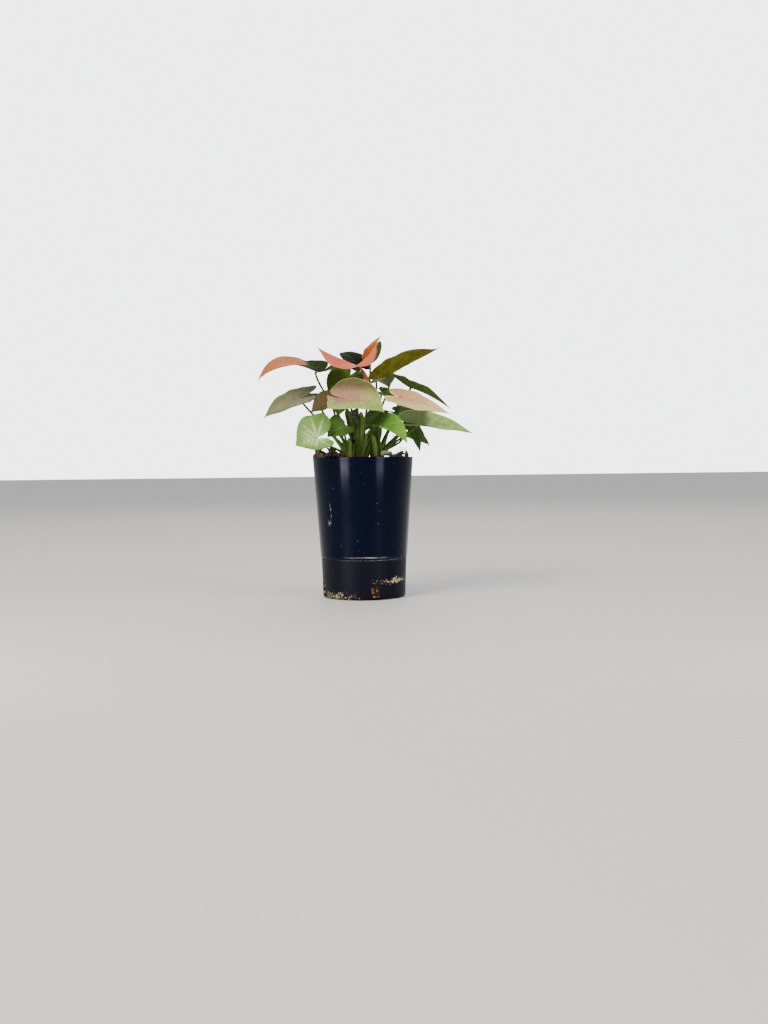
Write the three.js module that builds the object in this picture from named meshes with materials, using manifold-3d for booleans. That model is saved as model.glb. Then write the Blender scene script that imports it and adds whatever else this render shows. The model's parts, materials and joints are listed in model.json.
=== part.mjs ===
// Arrowhead plant with pink and green blades, growing in a black nursery pot.
// Millimetres, +Z up. The origin is on the ground under the middle of the pot.
import * as THREE from "three";
import { mergeVertices } from "three/addons/utils/BufferGeometryUtils.js";
import Module from "manifold-3d";

const wasm = await Module();
wasm.setup();

// ---------------------------------------------------------------- driving dimensions
const POT_HEIGHT = 139;
const RIM_RADIUS = 50;
const SHOULDER_HEIGHT = 41; // where the straight cone steps in to the foot
const SHOULDER_STEP = 1.5; // height of that step
const SHOULDER_RADIUS = 43.2;
const FOOT_TOP_RADIUS = 42.5;
const FOOT_BASE_RADIUS = 41.2;
const EDGE_RADIUS = 2.5; // rounding of the bottom edge
const POT_WALL = 1.2;
const POT_FLOOR = 1.6;
const POT_SEGMENTS = 48;

const NOTCH_COUNT = 4; // drain notches in the bottom edge
const NOTCH_WIDTH = 11;
const NOTCH_TOP = 15;
const NOTCH_SILL = 2.2;
const NOTCH_TURN = 17; // degrees from the front to the first notch

const CLEARANCE = 0.3; // gap between neighbouring solids
const SOIL_BELOW_RIM = 6;
const SOIL_SEGMENTS = 36;
const HUSK_STANDS = 2.6; // from the compost to the fold of the dry sheath that stands on it
const CHIP_COUNT = 30; // bark chips that stand out of the compost
const HOLE_FLOOR = 100; // the plain holes that the stems stand in end here

const BLADE = 0.8; // thickness of a leaf blade
const BLADE_RINGS = 3; // rings of vertices between the petiole and the margin
const PETIOLE_SIDES = 5;
const PETIOLE_STEPS = 10;
const PETIOLE_BASE_RADIUS = 2.1;
const PETIOLE_END_RADIUS = 0.9;
const PETIOLE_GAP = 0.5; // from the end of a petiole to the underside of its blade
const STEM_RADIUS = 4.4;
const SHEATH_RADIUS = 3.4; // of the sheaths near their top
const STEM_TOP = 142; // above which the stems are only sheaths

// ---------------------------------------------------------------- small helpers
const radians = THREE.MathUtils.degToRad;
const { lerp, clamp } = THREE.MathUtils;
const vec = (p) => new THREE.Vector3(...p);

// A repeatable random number from 0 to 1.
function seeded(seed) {
  let state = seed;
  return () => {
    state = (state * 1664525 + 1013904223) % 4294967296;
    return state / 4294967296;
  };
}

function geometryOf(points, triangles) {
  const geometry = new THREE.BufferGeometry();
  const flat = points.flatMap((p) => p.toArray());
  geometry.setAttribute("position", new THREE.Float32BufferAttribute(flat, 3));
  geometry.setIndex(triangles.flat());
  return geometry;
}

// A closed geometry as a solid that can be joined and cut.
function solidOf(geometry) {
  const bare = geometry.clone();
  bare.deleteAttribute("normal");
  bare.deleteAttribute("uv");
  const merged = mergeVertices(bare, 1e-3);
  const mesh = new wasm.Mesh({
    numProp: 3,
    vertProperties: merged.attributes.position.array,
    triVerts: new Uint32Array(merged.index.array),
  });
  return new wasm.Manifold(mesh);
}

function geometryFrom(solid) {
  const mesh = solid.getMesh();
  const geometry = new THREE.BufferGeometry();
  geometry.setAttribute("position", new THREE.BufferAttribute(mesh.vertProperties, 3));
  geometry.setIndex(new THREE.BufferAttribute(mesh.triVerts, 1));
  return geometry;
}

// A solid of revolution about +Z. The profile runs from the bottom outwards and up.
function lathe(profile, segments) {
  const points = profile.map(([r, z]) => new THREE.Vector2(r, z));
  return new THREE.LatheGeometry(points, segments).rotateX(Math.PI / 2);
}

const plant = new THREE.Group();

function addPiece(name, geometry, colour, roughness) {
  const material = new THREE.MeshStandardMaterial({ color: colour, roughness, metalness: 0 });
  const mesh = new THREE.Mesh(geometry, material);
  mesh.name = name;
  plant.add(mesh);
}

// ---------------------------------------------------------------- pot
// Outer radius of the pot wall at a height above the ground.
function wallRadius(z) {
  if (z >= SHOULDER_HEIGHT) {
    const share = (z - SHOULDER_HEIGHT) / (POT_HEIGHT - SHOULDER_HEIGHT);
    return lerp(SHOULDER_RADIUS, RIM_RADIUS, share);
  }
  return lerp(FOOT_BASE_RADIUS, FOOT_TOP_RADIUS, z / SHOULDER_HEIGHT);
}

function potSolid() {
  const edge = EDGE_RADIUS * (1 - Math.SQRT1_2);
  const profile = [
    [0, 0],
    [FOOT_BASE_RADIUS - EDGE_RADIUS, 0],
    [FOOT_BASE_RADIUS - edge, edge],
    [wallRadius(EDGE_RADIUS), EDGE_RADIUS],
    [FOOT_TOP_RADIUS, SHOULDER_HEIGHT - SHOULDER_STEP],
    [SHOULDER_RADIUS, SHOULDER_HEIGHT],
    [RIM_RADIUS, POT_HEIGHT],
    [RIM_RADIUS - POT_WALL, POT_HEIGHT],
    [SHOULDER_RADIUS - POT_WALL, SHOULDER_HEIGHT],
    [FOOT_TOP_RADIUS - POT_WALL, SHOULDER_HEIGHT - SHOULDER_STEP],
    [wallRadius(POT_FLOOR) - POT_WALL, POT_FLOOR],
    [0, POT_FLOOR],
  ];
  let pot = solidOf(lathe(profile, POT_SEGMENTS));
  for (let i = 0; i < NOTCH_COUNT; i++) {
    const angle = radians(NOTCH_TURN - 90) + (i * 2 * Math.PI) / NOTCH_COUNT;
    pot = pot.subtract(notchCutter(angle));
  }
  return pot;
}

// A round-topped plug that cuts one drain notch through the wall, pointing along an angle.
function notchCutter(angle) {
  const half = NOTCH_WIDTH / 2;
  const reach = 10;
  const arch = new THREE.Shape();
  arch.moveTo(-half, NOTCH_SILL);
  arch.lineTo(half, NOTCH_SILL);
  arch.lineTo(half, NOTCH_TOP - half);
  arch.absarc(0, NOTCH_TOP - half, half, 0, Math.PI);
  arch.closePath();
  const shape = { depth: reach, bevelEnabled: false, curveSegments: 8 };
  const plug = new THREE.ExtrudeGeometry(arch, shape);
  plug.rotateX(Math.PI / 2); // the arch stands up and its depth runs along -Y
  plug.translate(0, reach / 2 - FOOT_BASE_RADIUS, 0);
  plug.rotateZ(angle + Math.PI / 2);
  return solidOf(plug);
}

// ---------------------------------------------------------------- leaves
// Half of a blade's outline from the tip to the notch over the petiole. The first number runs
// along the midrib as a share of the blade's length, and behind the petiole of the lobe's
// length too; the second runs across it as a share of half the width.
const HALF_OUTLINE = [
  [1.0, 0.0],
  [0.94, 0.05],
  [0.84, 0.21],
  [0.68, 0.51],
  [0.48, 0.8],
  [0.26, 0.96],
  [0.04, 1.0],
  [-0.15, 0.93],
  [-0.29, 0.75],
  [-0.37, 0.48],
  [-0.31, 0.22],
  [-0.15, 0.07],
];

// Each leaf: its shoot, where its petiole meets the blade, where the tip is, which way the
// upper side looks, its full width, and in degrees how far the two halves are folded up at the
// petiole and at the tip. These are given where they aren't plain: lean adds fold on the left
// half and takes it off the right one, arch bends the midrib, hook turns the tip down, lobe
// is the relative length of the lobes behind the petiole and lobeLean lengthens the left one,
// skew widens the left half, flare spreads the lobes (flareLean the left one more), lift turns
// the lobes up (liftLean the left one more), lobeFold adds fold on the lobes (lobeFoldLean on
// the left one more), and bow pushes the petiole sideways.
const LEAVES = {
  // round the top
  crown_pink: { shoot: "centre", at: [-4, -8, 229], tip: [-45, -16, 248], up: [0, -0.6, 0.8],
    width: 30, fold: -2, tipFold: -75, lean: 40, hook: -10, lobe: 1.0, lobeLean: -0.25,
    skew: 0.15, flare: 1, flareLean: -0.35, lift: -22, liftLean: -48, lobeFold: 40,
    lobeFoldLean: -48, colour: "#d6887d" },
  spear: { shoot: "centre", at: [6, 22, 239], tip: [20, 23, 263], up: [-0.7, -0.9, 0.3],
    width: 15, fold: 64, tipFold: 30, lean: -12, arch: 8, lobe: 0.3, colour: "#cd7850" },
  crown_dark: { shoot: "back_left", at: [-4, 34, 234], tip: [-25, 68, 250], up: [-0.2, -0.1, 1],
    width: 26, fold: 10, arch: 20, lobe: 0.7, colour: "#3a4520" },
  crown_green: { shoot: "back_right", at: [14, 46, 220], tip: [28, 92, 214], up: [0, 0.1, 1],
    width: 36, fold: 16, arch: 14, colour: "#6f8a3c" },
  behind_blush: { shoot: "back_left", at: [-12, 12, 222], tip: [-32, 0, 191],
    up: [-0.2, -0.8, 0.5], width: 40, fold: 12, arch: 14, lobe: 0.6, colour: "#465a14" },
  // left side
  left_pink: { shoot: "centre", at: [-46, 6, 225], tip: [-100, -36, 212], up: [0, -0.45, 1],
    width: 42, fold: 22, tipFold: 8, arch: 14, hook: 62, lobe: 0.75, lift: 60, liftLean: 10,
    colour: "#d4967a" },
  left_grey: { shoot: "left", at: [-61, -4, 198], tip: [-97, -20, 178], up: [0, -0.53, 1],
    width: 36, fold: 10, arch: 10, lobe: 1.1, lobeLean: -0.3, lift: 5, colour: "#8c8a62" },
  left_hidden: { shoot: "back_left", at: [-48, 18, 200], tip: [-80, 36, 190], up: [0, 0.1, 1],
    width: 30, fold: 8, arch: 12, colour: "#6f8a3c" },
  left_bronze: { shoot: "left", at: [-30, -22, 195], tip: [-50, -28, 182], up: [0, -0.6, 0.6],
    width: 26, fold: 16, arch: 12, lobe: 0.9, colour: "#6e5a32" },
  // front
  front_blush: { shoot: "centre", at: [-17, -42, 195], tip: [22, -52, 180], up: [0, -0.75, 0.75],
    width: 52, fold: 18, arch: 10, hook: 60, lobe: 1, lobeLean: 0.1, skew: -0.06, flare: -0.45,
    flareLean: -1, lift: 14, liftLean: -14, colour: "#afa578" },
  front_pale: { shoot: "left", at: [-43, -50, 157], tip: [-63, -58, 150], up: [-0.45, -1, 0.25],
    width: 48, fold: 26, tipFold: 22, lean: 8, arch: 16, lobe: 1.9, lobeLean: -0.3, flare: 0.12,
    flareLean: -1, lift: 5, colour: "#a5be78" },
  front_green: { shoot: "left", at: [-17, -26, 170], tip: [-34, -34, 158],
    up: [-0.1, -0.9, 0.6], width: 30, fold: 14, arch: 14, lobe: 0.4, colour: "#577535" },
  front_right: { shoot: "right", at: [16, -50, 168], tip: [44, -66, 150.5], up: [0.4, -0.7, 0.7],
    width: 29, fold: 28, arch: 24, lobe: 0.3, skew: 0.25, colour: "#83a344" },
  inner_green: { shoot: "centre", at: [18, -24, 183], tip: [2, -28, 163], up: [-0.3, -0.9, 0.5],
    width: 20, fold: 12, arch: 12, lobe: 0.5, colour: "#3f5a20" },
  inner_dark: { shoot: "back_left", at: [-11, -10, 183], tip: [-9, -12, 157], up: [0.2, -1, 0.3],
    width: 15, fold: 24, arch: 10, lobe: 0.3, colour: "#3c4a1c" },
  inner_low: { shoot: "right", at: [10, 4, 174], tip: [18, 2, 153], up: [0.2, -1, 0.3], width: 15,
    fold: 20, arch: 10, lobe: 0.3, colour: "#4a6424" },
  // right side
  right_olive: { shoot: "centre", at: [28, 0, 220], tip: [79, 12, 249], up: [0, 0.3, 1],
    width: 44, fold: 30, tipFold: 24, arch: 10, hook: -20, lobe: 1, lift: 15, colour: "#78823c" },
  right_dark: { shoot: "back_right", at: [49, 22, 209], tip: [92, 12, 184], up: [0, 0.1, 1],
    width: 33, fold: 24, arch: 10, lobe: 1.15, lift: 15, colour: "#5a6e28" },
  right_peach: { shoot: "right", at: [38, -10, 198], tip: [87, -16, 180], up: [0, -0.42, 1],
    width: 46, fold: 4, tipFold: 0, arch: 6, lobe: 0.7, skew: -0.1, colour: "#d4b292" },
  right_pale: { shoot: "right", at: [54, -38, 170], tip: [110, -22, 161], up: [0, -0.84, 1],
    width: 38, fold: 34, tipFold: 30, arch: 6, lobe: 0.9, skew: -0.2, colour: "#a5b978" },
  right_inner: { shoot: "back_right", at: [20, 10, 204], tip: [38, 14, 192], up: [0.2, -0.5, 0.8],
    width: 20, fold: 10, arch: 12, lobe: 0.6, colour: "#506e28" },
  low_right_dark: { shoot: "right", at: [46, -14, 169], tip: [57, -20, 142], up: [0.5, -0.6, 0.5],
    width: 16, fold: 10, arch: 12, lobe: 0.6, skew: 0.1, colour: "#3c500a" },
  low_right_olive: { shoot: "back_right", at: [47.5, 0, 172], tip: [63.5, 2, 154],
    up: [0.3, -0.5, 0.6], width: 14, fold: 16, arch: 16, lobe: 0.6, colour: "#5a5a1e" },
  // back
  back_middle: { shoot: "back_left", at: [-18, 48, 202], tip: [-28, 92, 184], up: [0, 0.3, 1],
    width: 42, fold: 14, arch: 14, colour: "#8da25c" },
  back_right: { shoot: "back_right", at: [36, 48, 186], tip: [66, 78, 172], up: [0, 0.2, 1],
    width: 38, fold: 12, arch: 14, colour: "#a9b07a" },
  back_low_left: { shoot: "back_left", at: [-34, 36, 170], tip: [-62, 60, 156], up: [0, 0.2, 1],
    width: 36, fold: 14, arch: 16, colour: "#7d9648" },
  back_low_right: { shoot: "back_right", at: [40, 24, 160], tip: [70, 44, 150], up: [0, 0.2, 1],
    width: 28, fold: 14, arch: 16, lobe: 0.5, colour: "#6f8a3c" },
};

// The midrib in its own plane as points for a unit length, with the slope at each of them.
function midrib(arch, hook) {
  const steps = 24;
  const slope = (t) => arch * (1 - 2 * t) - hook * t ** 3;
  const along = [0];
  const above = [0];
  for (let i = 0; i < steps; i++) {
    const phi = slope((i + 0.5) / steps);
    along.push(along[i] + Math.cos(phi) / steps);
    above.push(above[i] + Math.sin(phi) / steps);
  }
  const at = (list, t) => {
    const i = Math.min(Math.floor(t * steps), steps - 1);
    return lerp(list[i], list[i + 1], t * steps - i);
  };
  const reach = Math.hypot(along[steps], above[steps]);
  const turn = Math.atan2(above[steps], along[steps]);
  return { slope, reach, turn, x: (t) => at(along, t), z: (t) => at(above, t) };
}

// One half of the flat outline of a leaf: side is 1 for the left half and -1 for the right one.
function flatHalf(leaf, length, side) {
  const halfWidth = (leaf.width / 2) * (1 + side * (leaf.skew ?? 0));
  const lobe = (leaf.lobe ?? 1) * (1 + side * (leaf.lobeLean ?? 0)) * length;
  const flare = (leaf.flare ?? 0) * (1 + side * (leaf.flareLean ?? 0));
  return HALF_OUTLINE.map(([along, across]) => {
    const x = along * (along < 0 ? lobe : length);
    const spread = clamp(-along / 0.25, 0, 1) * Math.min(across * 1.4, 1) * flare;
    return [x, side * (across * halfWidth - Math.min(x, 0) * spread)];
  });
}

// Where a point of the flat blade goes on the folded and arched one, from the petiole in mm:
// along the chord, to the left, and up.
function bend(leaf, length, rib, [x, y]) {
  const t = clamp(x / length, 0, 1);
  const left = Math.sign(y);
  const tipFold = radians(leaf.tipFold ?? leaf.fold);
  const lean = left * radians(leaf.lean ?? 0);
  const behind = -Math.min(x, 0) / (0.12 * length - Math.min(x, 0)); // 0 at the petiole, towards 1
  const lobeFold = behind * radians((leaf.lobeFold ?? 0) + left * (leaf.lobeFoldLean ?? 0));
  const fold = tipFold + (radians(leaf.fold) - tipFold) * (1 - t) ** 2 + lean + lobeFold;
  const crease = 0.03 * length; // the fold is rounded over this distance from the midrib
  const rise = (Math.hypot(y, crease) - crease) * Math.sin(fold);
  let phi = rib.slope(t);
  let along = rib.x(t) * length;
  let above = rib.z(t) * length;
  if (x < 0) {
    const lift = radians((leaf.lift ?? 0) + left * (leaf.liftLean ?? 0));
    phi -= lift * behind;
    along = x * Math.cos(phi);
    above = x * Math.sin(phi);
  }
  const point = new THREE.Vector2(along - rise * Math.sin(phi), above + rise * Math.cos(phi));
  point.rotateAround(new THREE.Vector2(), -rib.turn);
  return [point.x, y * Math.cos(fold), point.y];
}

// A leaf blade's middle surface as points, triangles and the upward normal at each point.
function bladeSurface(leaf) {
  const chord = vec(leaf.tip).sub(vec(leaf.at));
  const rib = midrib(radians(leaf.arch ?? 0), radians(leaf.hook ?? 0));
  const length = chord.length() / rib.reach;
  const forward = chord.clone().normalize();
  const up = vec(leaf.up);
  up.addScaledVector(forward, -up.dot(forward)).normalize();
  const leftward = new THREE.Vector3().crossVectors(up, forward);
  const outline = [...flatHalf(leaf, length, 1).reverse(), ...flatHalf(leaf, length, -1).slice(1)];
  const flat = [[0, 0]];
  for (let ring = 1; ring <= BLADE_RINGS; ring++) {
    outline.forEach(([x, y]) => flat.push([(x * ring) / BLADE_RINGS, (y * ring) / BLADE_RINGS]));
  }
  const points = flat.map((p) => {
    const [along, across, above] = bend(leaf, length, rib, p);
    return vec(leaf.at)
      .addScaledVector(forward, along)
      .addScaledVector(leftward, across)
      .addScaledVector(up, above);
  });
  const count = outline.length;
  const triangles = [];
  for (let j = 1; j < count; j++) triangles.push([0, j + 1, j]);
  for (let ring = 1; ring < BLADE_RINGS; ring++) {
    const inner = 1 + (ring - 1) * count;
    const outer = inner + count;
    for (let j = 0; j < count - 1; j++) {
      triangles.push([inner + j, inner + j + 1, outer + j]);
      triangles.push([inner + j + 1, outer + j + 1, outer + j]);
    }
  }
  const surface = geometryOf(points, triangles);
  surface.computeVertexNormals();
  const normal = surface.attributes.normal;
  const normals = points.map((_, i) => new THREE.Vector3().fromBufferAttribute(normal, i));
  return { points, triangles, count, normals };
}

// The surface thickened to a closed blade: both faces are split into the same triangles.
function bladeGeometry({ points, triangles, count, normals }) {
  const upper = points.map((p, i) => p.clone().addScaledVector(normals[i], BLADE / 2));
  const lower = points.map((p, i) => p.clone().addScaledVector(normals[i], -BLADE / 2));
  const total = points.length;
  const rings = [...Array(BLADE_RINGS).keys()];
  const leftRay = [0, ...rings.map((r) => 1 + r * count)];
  const rightRay = [0, ...rings.map((r) => (r + 1) * count)];
  const margin = [...Array(count).keys()].map((j) => 1 + (BLADE_RINGS - 1) * count + j);
  const rim = [...leftRay, ...margin.slice(1), ...rightRay.reverse().slice(1, -1)];
  const faces = triangles.map(([a, b, c]) => [a, b, c]);
  triangles.forEach(([a, b, c]) => faces.push([total + a, total + c, total + b]));
  rim.forEach((a, i) => {
    const b = rim[(i + 1) % rim.length];
    faces.push([a, b, total + b], [a, total + b, total + a]);
  });
  return geometryOf([...upper, ...lower], faces);
}

// ---------------------------------------------------------------- shoots
// Where each leafy stem stands in the pot, seen from above.
const SHOOTS = {
  centre: [-1, -5],
  left: [-13, -14],
  right: [16, -10],
  back_left: [-9, 13],
  back_right: [12, 15],
};

// A round stalk along a curve, thinner towards its end, closed at both ends.
function stalk(curve, baseRadius, endRadius, sides, steps) {
  const frames = curve.computeFrenetFrames(steps, false);
  const points = [];
  const triangles = [];
  for (let i = 0; i <= steps; i++) {
    const centre = curve.getPointAt(i / steps);
    const radius = lerp(baseRadius, endRadius, i / steps);
    for (let j = 0; j < sides; j++) {
      const angle = (j * 2 * Math.PI) / sides;
      points.push(
        centre
          .clone()
          .addScaledVector(frames.normals[i], radius * Math.cos(angle))
          .addScaledVector(frames.binormals[i], radius * Math.sin(angle)),
      );
    }
  }
  for (let i = 0; i < steps; i++) {
    for (let j = 0; j < sides; j++) {
      const a = i * sides + j;
      const b = i * sides + ((j + 1) % sides);
      triangles.push([a, b, b + sides], [a, b + sides, a + sides]);
    }
  }
  for (let j = 1; j < sides - 1; j++) {
    const end = steps * sides;
    triangles.push([0, j + 1, j], [end, end + j, end + j + 1]);
  }
  return geometryOf(points, triangles);
}

function petiole(leaf, normal) {
  const [x, y] = SHOOTS[leaf.shoot];
  const end = vec(leaf.at).addScaledVector(normal, -(BLADE / 2 + PETIOLE_GAP));
  const start = new THREE.Vector3(x, y, STEM_TOP - 4);
  const way = end.clone().sub(start);
  const outward = new THREE.Vector3(way.x, way.y, 0).normalize();
  start.addScaledVector(outward, 1.6);
  const reach = way.length();
  const rising = way.clone().normalize();
  rising.z += 0.6;
  const bow = vec(leaf.bow ?? [0, 0, 0]);
  const first = start.clone().addScaledVector(rising.normalize(), 0.35 * reach).add(bow);
  const second = end.clone().addScaledVector(normal, -9).add(bow);
  const curve = new THREE.CubicBezierCurve3(start, first, second, end);
  return stalk(curve, PETIOLE_BASE_RADIUS, PETIOLE_END_RADIUS, PETIOLE_SIDES, PETIOLE_STEPS);
}

const stemSections = 10;

// How high the clasping sheaths hide each stem, above the ground.
const SHEATH_TOPS = { centre: 184, left: 158, right: 156, back_left: 152, back_right: 152 };

function shootSolid(name, surfaces) {
  const [x, y] = SHOOTS[name];
  const top = SHEATH_TOPS[name];
  const profile = [
    [0, HOLE_FLOOR + CLEARANCE],
    [STEM_RADIUS - 1, HOLE_FLOOR + CLEARANCE],
    [STEM_RADIUS, HOLE_FLOOR + 4],
    [STEM_RADIUS, STEM_TOP],
    [SHEATH_RADIUS, top - 6],
    [SHEATH_RADIUS / 3, top],
    [0, top],
  ];
  let shoot = solidOf(lathe(profile, stemSections).translate(x, y, 0));
  for (const [leafName, leaf] of Object.entries(LEAVES)) {
    if (leaf.shoot === name) shoot = shoot.add(solidOf(petiole(leaf, surfaces[leafName].normals[0])));
  }
  return shoot;
}

// ---------------------------------------------------------------- compost
function soilHeight(x, y) {
  const mound = 1.4 * Math.cos((Math.PI * Math.hypot(x, y)) / 100);
  const ripple = 0.7 * Math.sin(0.31 * x + 1.2) * Math.cos(0.27 * y - 0.5);
  const leftHeap = 8 * Math.exp(-((x + 32) ** 2 + (y + 6) ** 2) / 180);
  return POT_HEIGHT - SOIL_BELOW_RIM + mound + ripple + leftHeap;
}

function soilSolid() {
  const inner = (z) => wallRadius(z) - POT_WALL - CLEARANCE;
  const bottom = POT_FLOOR + CLEARANCE;
  const wallTop = POT_HEIGHT - SOIL_BELOW_RIM - 2;
  const profile = [
    [0, bottom],
    [inner(bottom), bottom],
    [inner(SHOULDER_HEIGHT - SHOULDER_STEP), SHOULDER_HEIGHT - SHOULDER_STEP],
    [inner(SHOULDER_HEIGHT), SHOULDER_HEIGHT],
    [inner(wallTop), wallTop],
  ];
  const topRings = [46, 38, 29, 20, 10];
  topRings.forEach((r) => profile.push([r, POT_HEIGHT]));
  profile.push([0, POT_HEIGHT]);
  const body = lathe(profile, SOIL_SEGMENTS);
  const position = body.attributes.position;
  for (let i = 0; i < position.count; i++) {
    if (position.getZ(i) > wallTop + 1) {
      position.setZ(i, soilHeight(position.getX(i), position.getY(i)));
    }
  }
  let soil = solidOf(body);
  chips().forEach((chip) => (soil = soil.add(chip)));
  for (const [x, y] of Object.values(SHOOTS)) {
    const radius = STEM_RADIUS + CLEARANCE + 0.2;
    const depth = POT_HEIGHT + 20 - HOLE_FLOOR;
    const hole = new THREE.CylinderGeometry(radius, radius, depth, stemSections);
    hole.rotateX(Math.PI / 2).rotateZ(Math.PI / 2).translate(x, y, HOLE_FLOOR + depth / 2);
    soil = soil.subtract(solidOf(hole));
  }
  return soil;
}

// Chips of bark lie scattered in the compost, more and higher ones by the left rim.
function chips() {
  const random = seeded(7);
  const list = [];
  while (list.length < CHIP_COUNT) {
    const heaped = list.length < CHIP_COUNT / 3;
    const angle = heaped ? radians(150 + 85 * random()) : 2 * Math.PI * random();
    const distance = heaped ? 30 + 9 * random() : 10 + 30 * random();
    const x = distance * Math.cos(angle);
    const y = distance * Math.sin(angle);
    const size = [5 + 5 * random(), 3 + 3 * random(), 2.5 + 2 * random()];
    const lift = (heaped ? 1 : 0.3) * random();
    const chip = new THREE.BoxGeometry(...size);
    chip.rotateY(0.9 * (random() - 0.5));
    chip.rotateX(0.7 * (random() - 0.5));
    chip.rotateZ(2 * Math.PI * random());
    chip.translate(x, y, soilHeight(x, y) + lift);
    const nearStem = Object.values(SHOOTS).some(([a, b]) => Math.hypot(x - a, y - b) < 13);
    if (!nearStem) list.push(solidOf(chip));
  }
  return list;
}

// ---------------------------------------------------------------- assembly
addPiece("pot", geometryFrom(potSolid()), "#0b0d16", 0.3);
addPiece("soil", geometryFrom(soilSolid()), "#3e372c", 0.95);

const surfaces = {};
for (const [name, leaf] of Object.entries(LEAVES)) {
  surfaces[name] = bladeSurface(leaf);
  addPiece("leaf_" + name, bladeGeometry(surfaces[name]), leaf.colour, 0.5);
}
for (const name of Object.keys(SHOOTS)) {
  addPiece("shoot_" + name, geometryFrom(shootSolid(name, surfaces)), "#5d7a32", 0.5);
}


// A dry leaf sheath that has dropped beside the right rim and stands on the compost.
const HUSK = { at: [42, -9, 0], tip: [43, -9, 12], up: [0.3, -1, 0.1], width: 7, fold: 38,
  arch: 30, lobe: 0.3 };
const huskFoot = soilHeight(HUSK.at[0], HUSK.at[1]) + HUSK_STANDS;
HUSK.at[2] += huskFoot;
HUSK.tip[2] += huskFoot;
addPiece("dried_husk", bladeGeometry(bladeSurface(HUSK)), "#6f5f42", 0.8);

export default plant;
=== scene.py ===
import json
import math

import bmesh
import bpy
import numpy as np
from mathutils import Matrix, Vector

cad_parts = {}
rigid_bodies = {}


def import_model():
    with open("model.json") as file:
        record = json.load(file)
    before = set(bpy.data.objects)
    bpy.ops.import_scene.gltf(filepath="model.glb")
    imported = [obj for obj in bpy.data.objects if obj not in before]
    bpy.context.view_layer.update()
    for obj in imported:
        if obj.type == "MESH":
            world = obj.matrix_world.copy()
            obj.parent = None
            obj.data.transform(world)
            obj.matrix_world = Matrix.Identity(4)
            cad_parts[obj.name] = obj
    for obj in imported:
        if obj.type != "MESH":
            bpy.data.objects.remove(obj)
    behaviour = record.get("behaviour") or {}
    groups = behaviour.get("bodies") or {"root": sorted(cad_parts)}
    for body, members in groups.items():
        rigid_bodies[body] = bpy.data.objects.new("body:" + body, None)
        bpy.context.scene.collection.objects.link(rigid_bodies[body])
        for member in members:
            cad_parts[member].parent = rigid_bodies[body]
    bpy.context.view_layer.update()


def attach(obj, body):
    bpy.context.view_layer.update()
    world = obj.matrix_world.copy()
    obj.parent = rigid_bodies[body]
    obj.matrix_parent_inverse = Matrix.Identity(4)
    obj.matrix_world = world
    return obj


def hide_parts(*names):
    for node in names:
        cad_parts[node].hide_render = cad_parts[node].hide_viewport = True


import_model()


# ------------------------------------------------------------------ camera
# At table height, a little over a metre in front of the pot, tipped down and turned a little
# on its axis.
CAMERA_PLACE = (0.0205, -1.085, 0.131)
TIPPED_DOWN = 2.48  # degrees
ROLLED = -0.65  # degrees

camera = bpy.data.objects.new("camera", bpy.data.cameras.new("camera"))
camera.data.sensor_width = 36
camera.data.lens = 38.15
camera.matrix_world = (
    Matrix.Translation(CAMERA_PLACE)
    @ Matrix.Rotation(math.radians(90 - TIPPED_DOWN), 4, "X")
    @ Matrix.Rotation(math.radians(ROLLED), 4, "Z")
)
bpy.context.scene.collection.objects.link(camera)
bpy.context.scene.camera = camera


# ------------------------------------------------------------------ stage and light
# A pale painted floor in an even pale studio. Only mirror reflections see the room behind the
# camera, which is dark but for two tall windows, so the glossy wall stays dark with two streaks.
MM = 0.001
SMOOTH = {"interpolation_type": "SMOOTHSTEP"}  # settings of a Map Range node
COLOURS = {"data_type": "RGBA"}  # settings of a Mix node
STUDIO_LIGHT = 0.75
BACKDROP_LIGHT = 4.6


def linear(hex_colour):
    """A colour written as sRGB hex, in the linear values that shaders take."""
    channels = [int(hex_colour[i : i + 2], 16) / 255 for i in (1, 3, 5)]
    curve = lambda c: c / 12.92 if c <= 0.04045 else ((c + 0.055) / 1.055) ** 2.4
    return (*map(curve, channels), 1.0)


def put(socket, value):
    """Links an input to an output, or sets its value. A string is a colour in hex."""
    if isinstance(value, bpy.types.NodeSocket):
        socket.id_data.links.new(value, socket)
    else:
        socket.default_value = linear(value) if isinstance(value, str) else value


def add(tree, kind, *values, out=None, **settings):
    """Adds a node and gives its first output, or the one that out names.

    Values go to its inputs in order. A setting goes to the input or the property of its name.
    """
    made = tree.nodes.new(kind if "Node" in kind else "ShaderNode" + kind)
    named = {key: made.inputs.get(key.replace("_", " ")) for key in settings}
    for key, socket in named.items():
        if socket is None:
            setattr(made, key, settings[key])
    for socket, value in zip([s for s in made.inputs if s.enabled], values):
        put(socket, value)
    for key, socket in named.items():
        if socket is not None:
            put(socket, settings[key])
    if out:
        return made.outputs[out]
    return next((s for s in made.outputs if s.enabled), None)


def painted(tree, colour, *coats):
    """A colour with others laid over it, each where its own pattern is."""
    for pattern, coat in coats:
        colour = add(tree, "Mix", pattern, colour, coat, **COLOURS)
    return colour


def per(size):
    """The scale of a pattern, from the size of its patches in millimetres.

    The sizes in this file were matched one by one.
    """
    return 1 / (size * MM)


def material(name, **values):
    """A new material, its tree and the inputs of its surface shader, some of them set."""
    made = bpy.data.materials.new(name)
    made.use_nodes = True
    surface = made.node_tree.nodes["Principled BSDF"].inputs
    for key, value in values.items():
        put(surface[key.replace("_", " ")], value)
    return made, made.node_tree, surface


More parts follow.
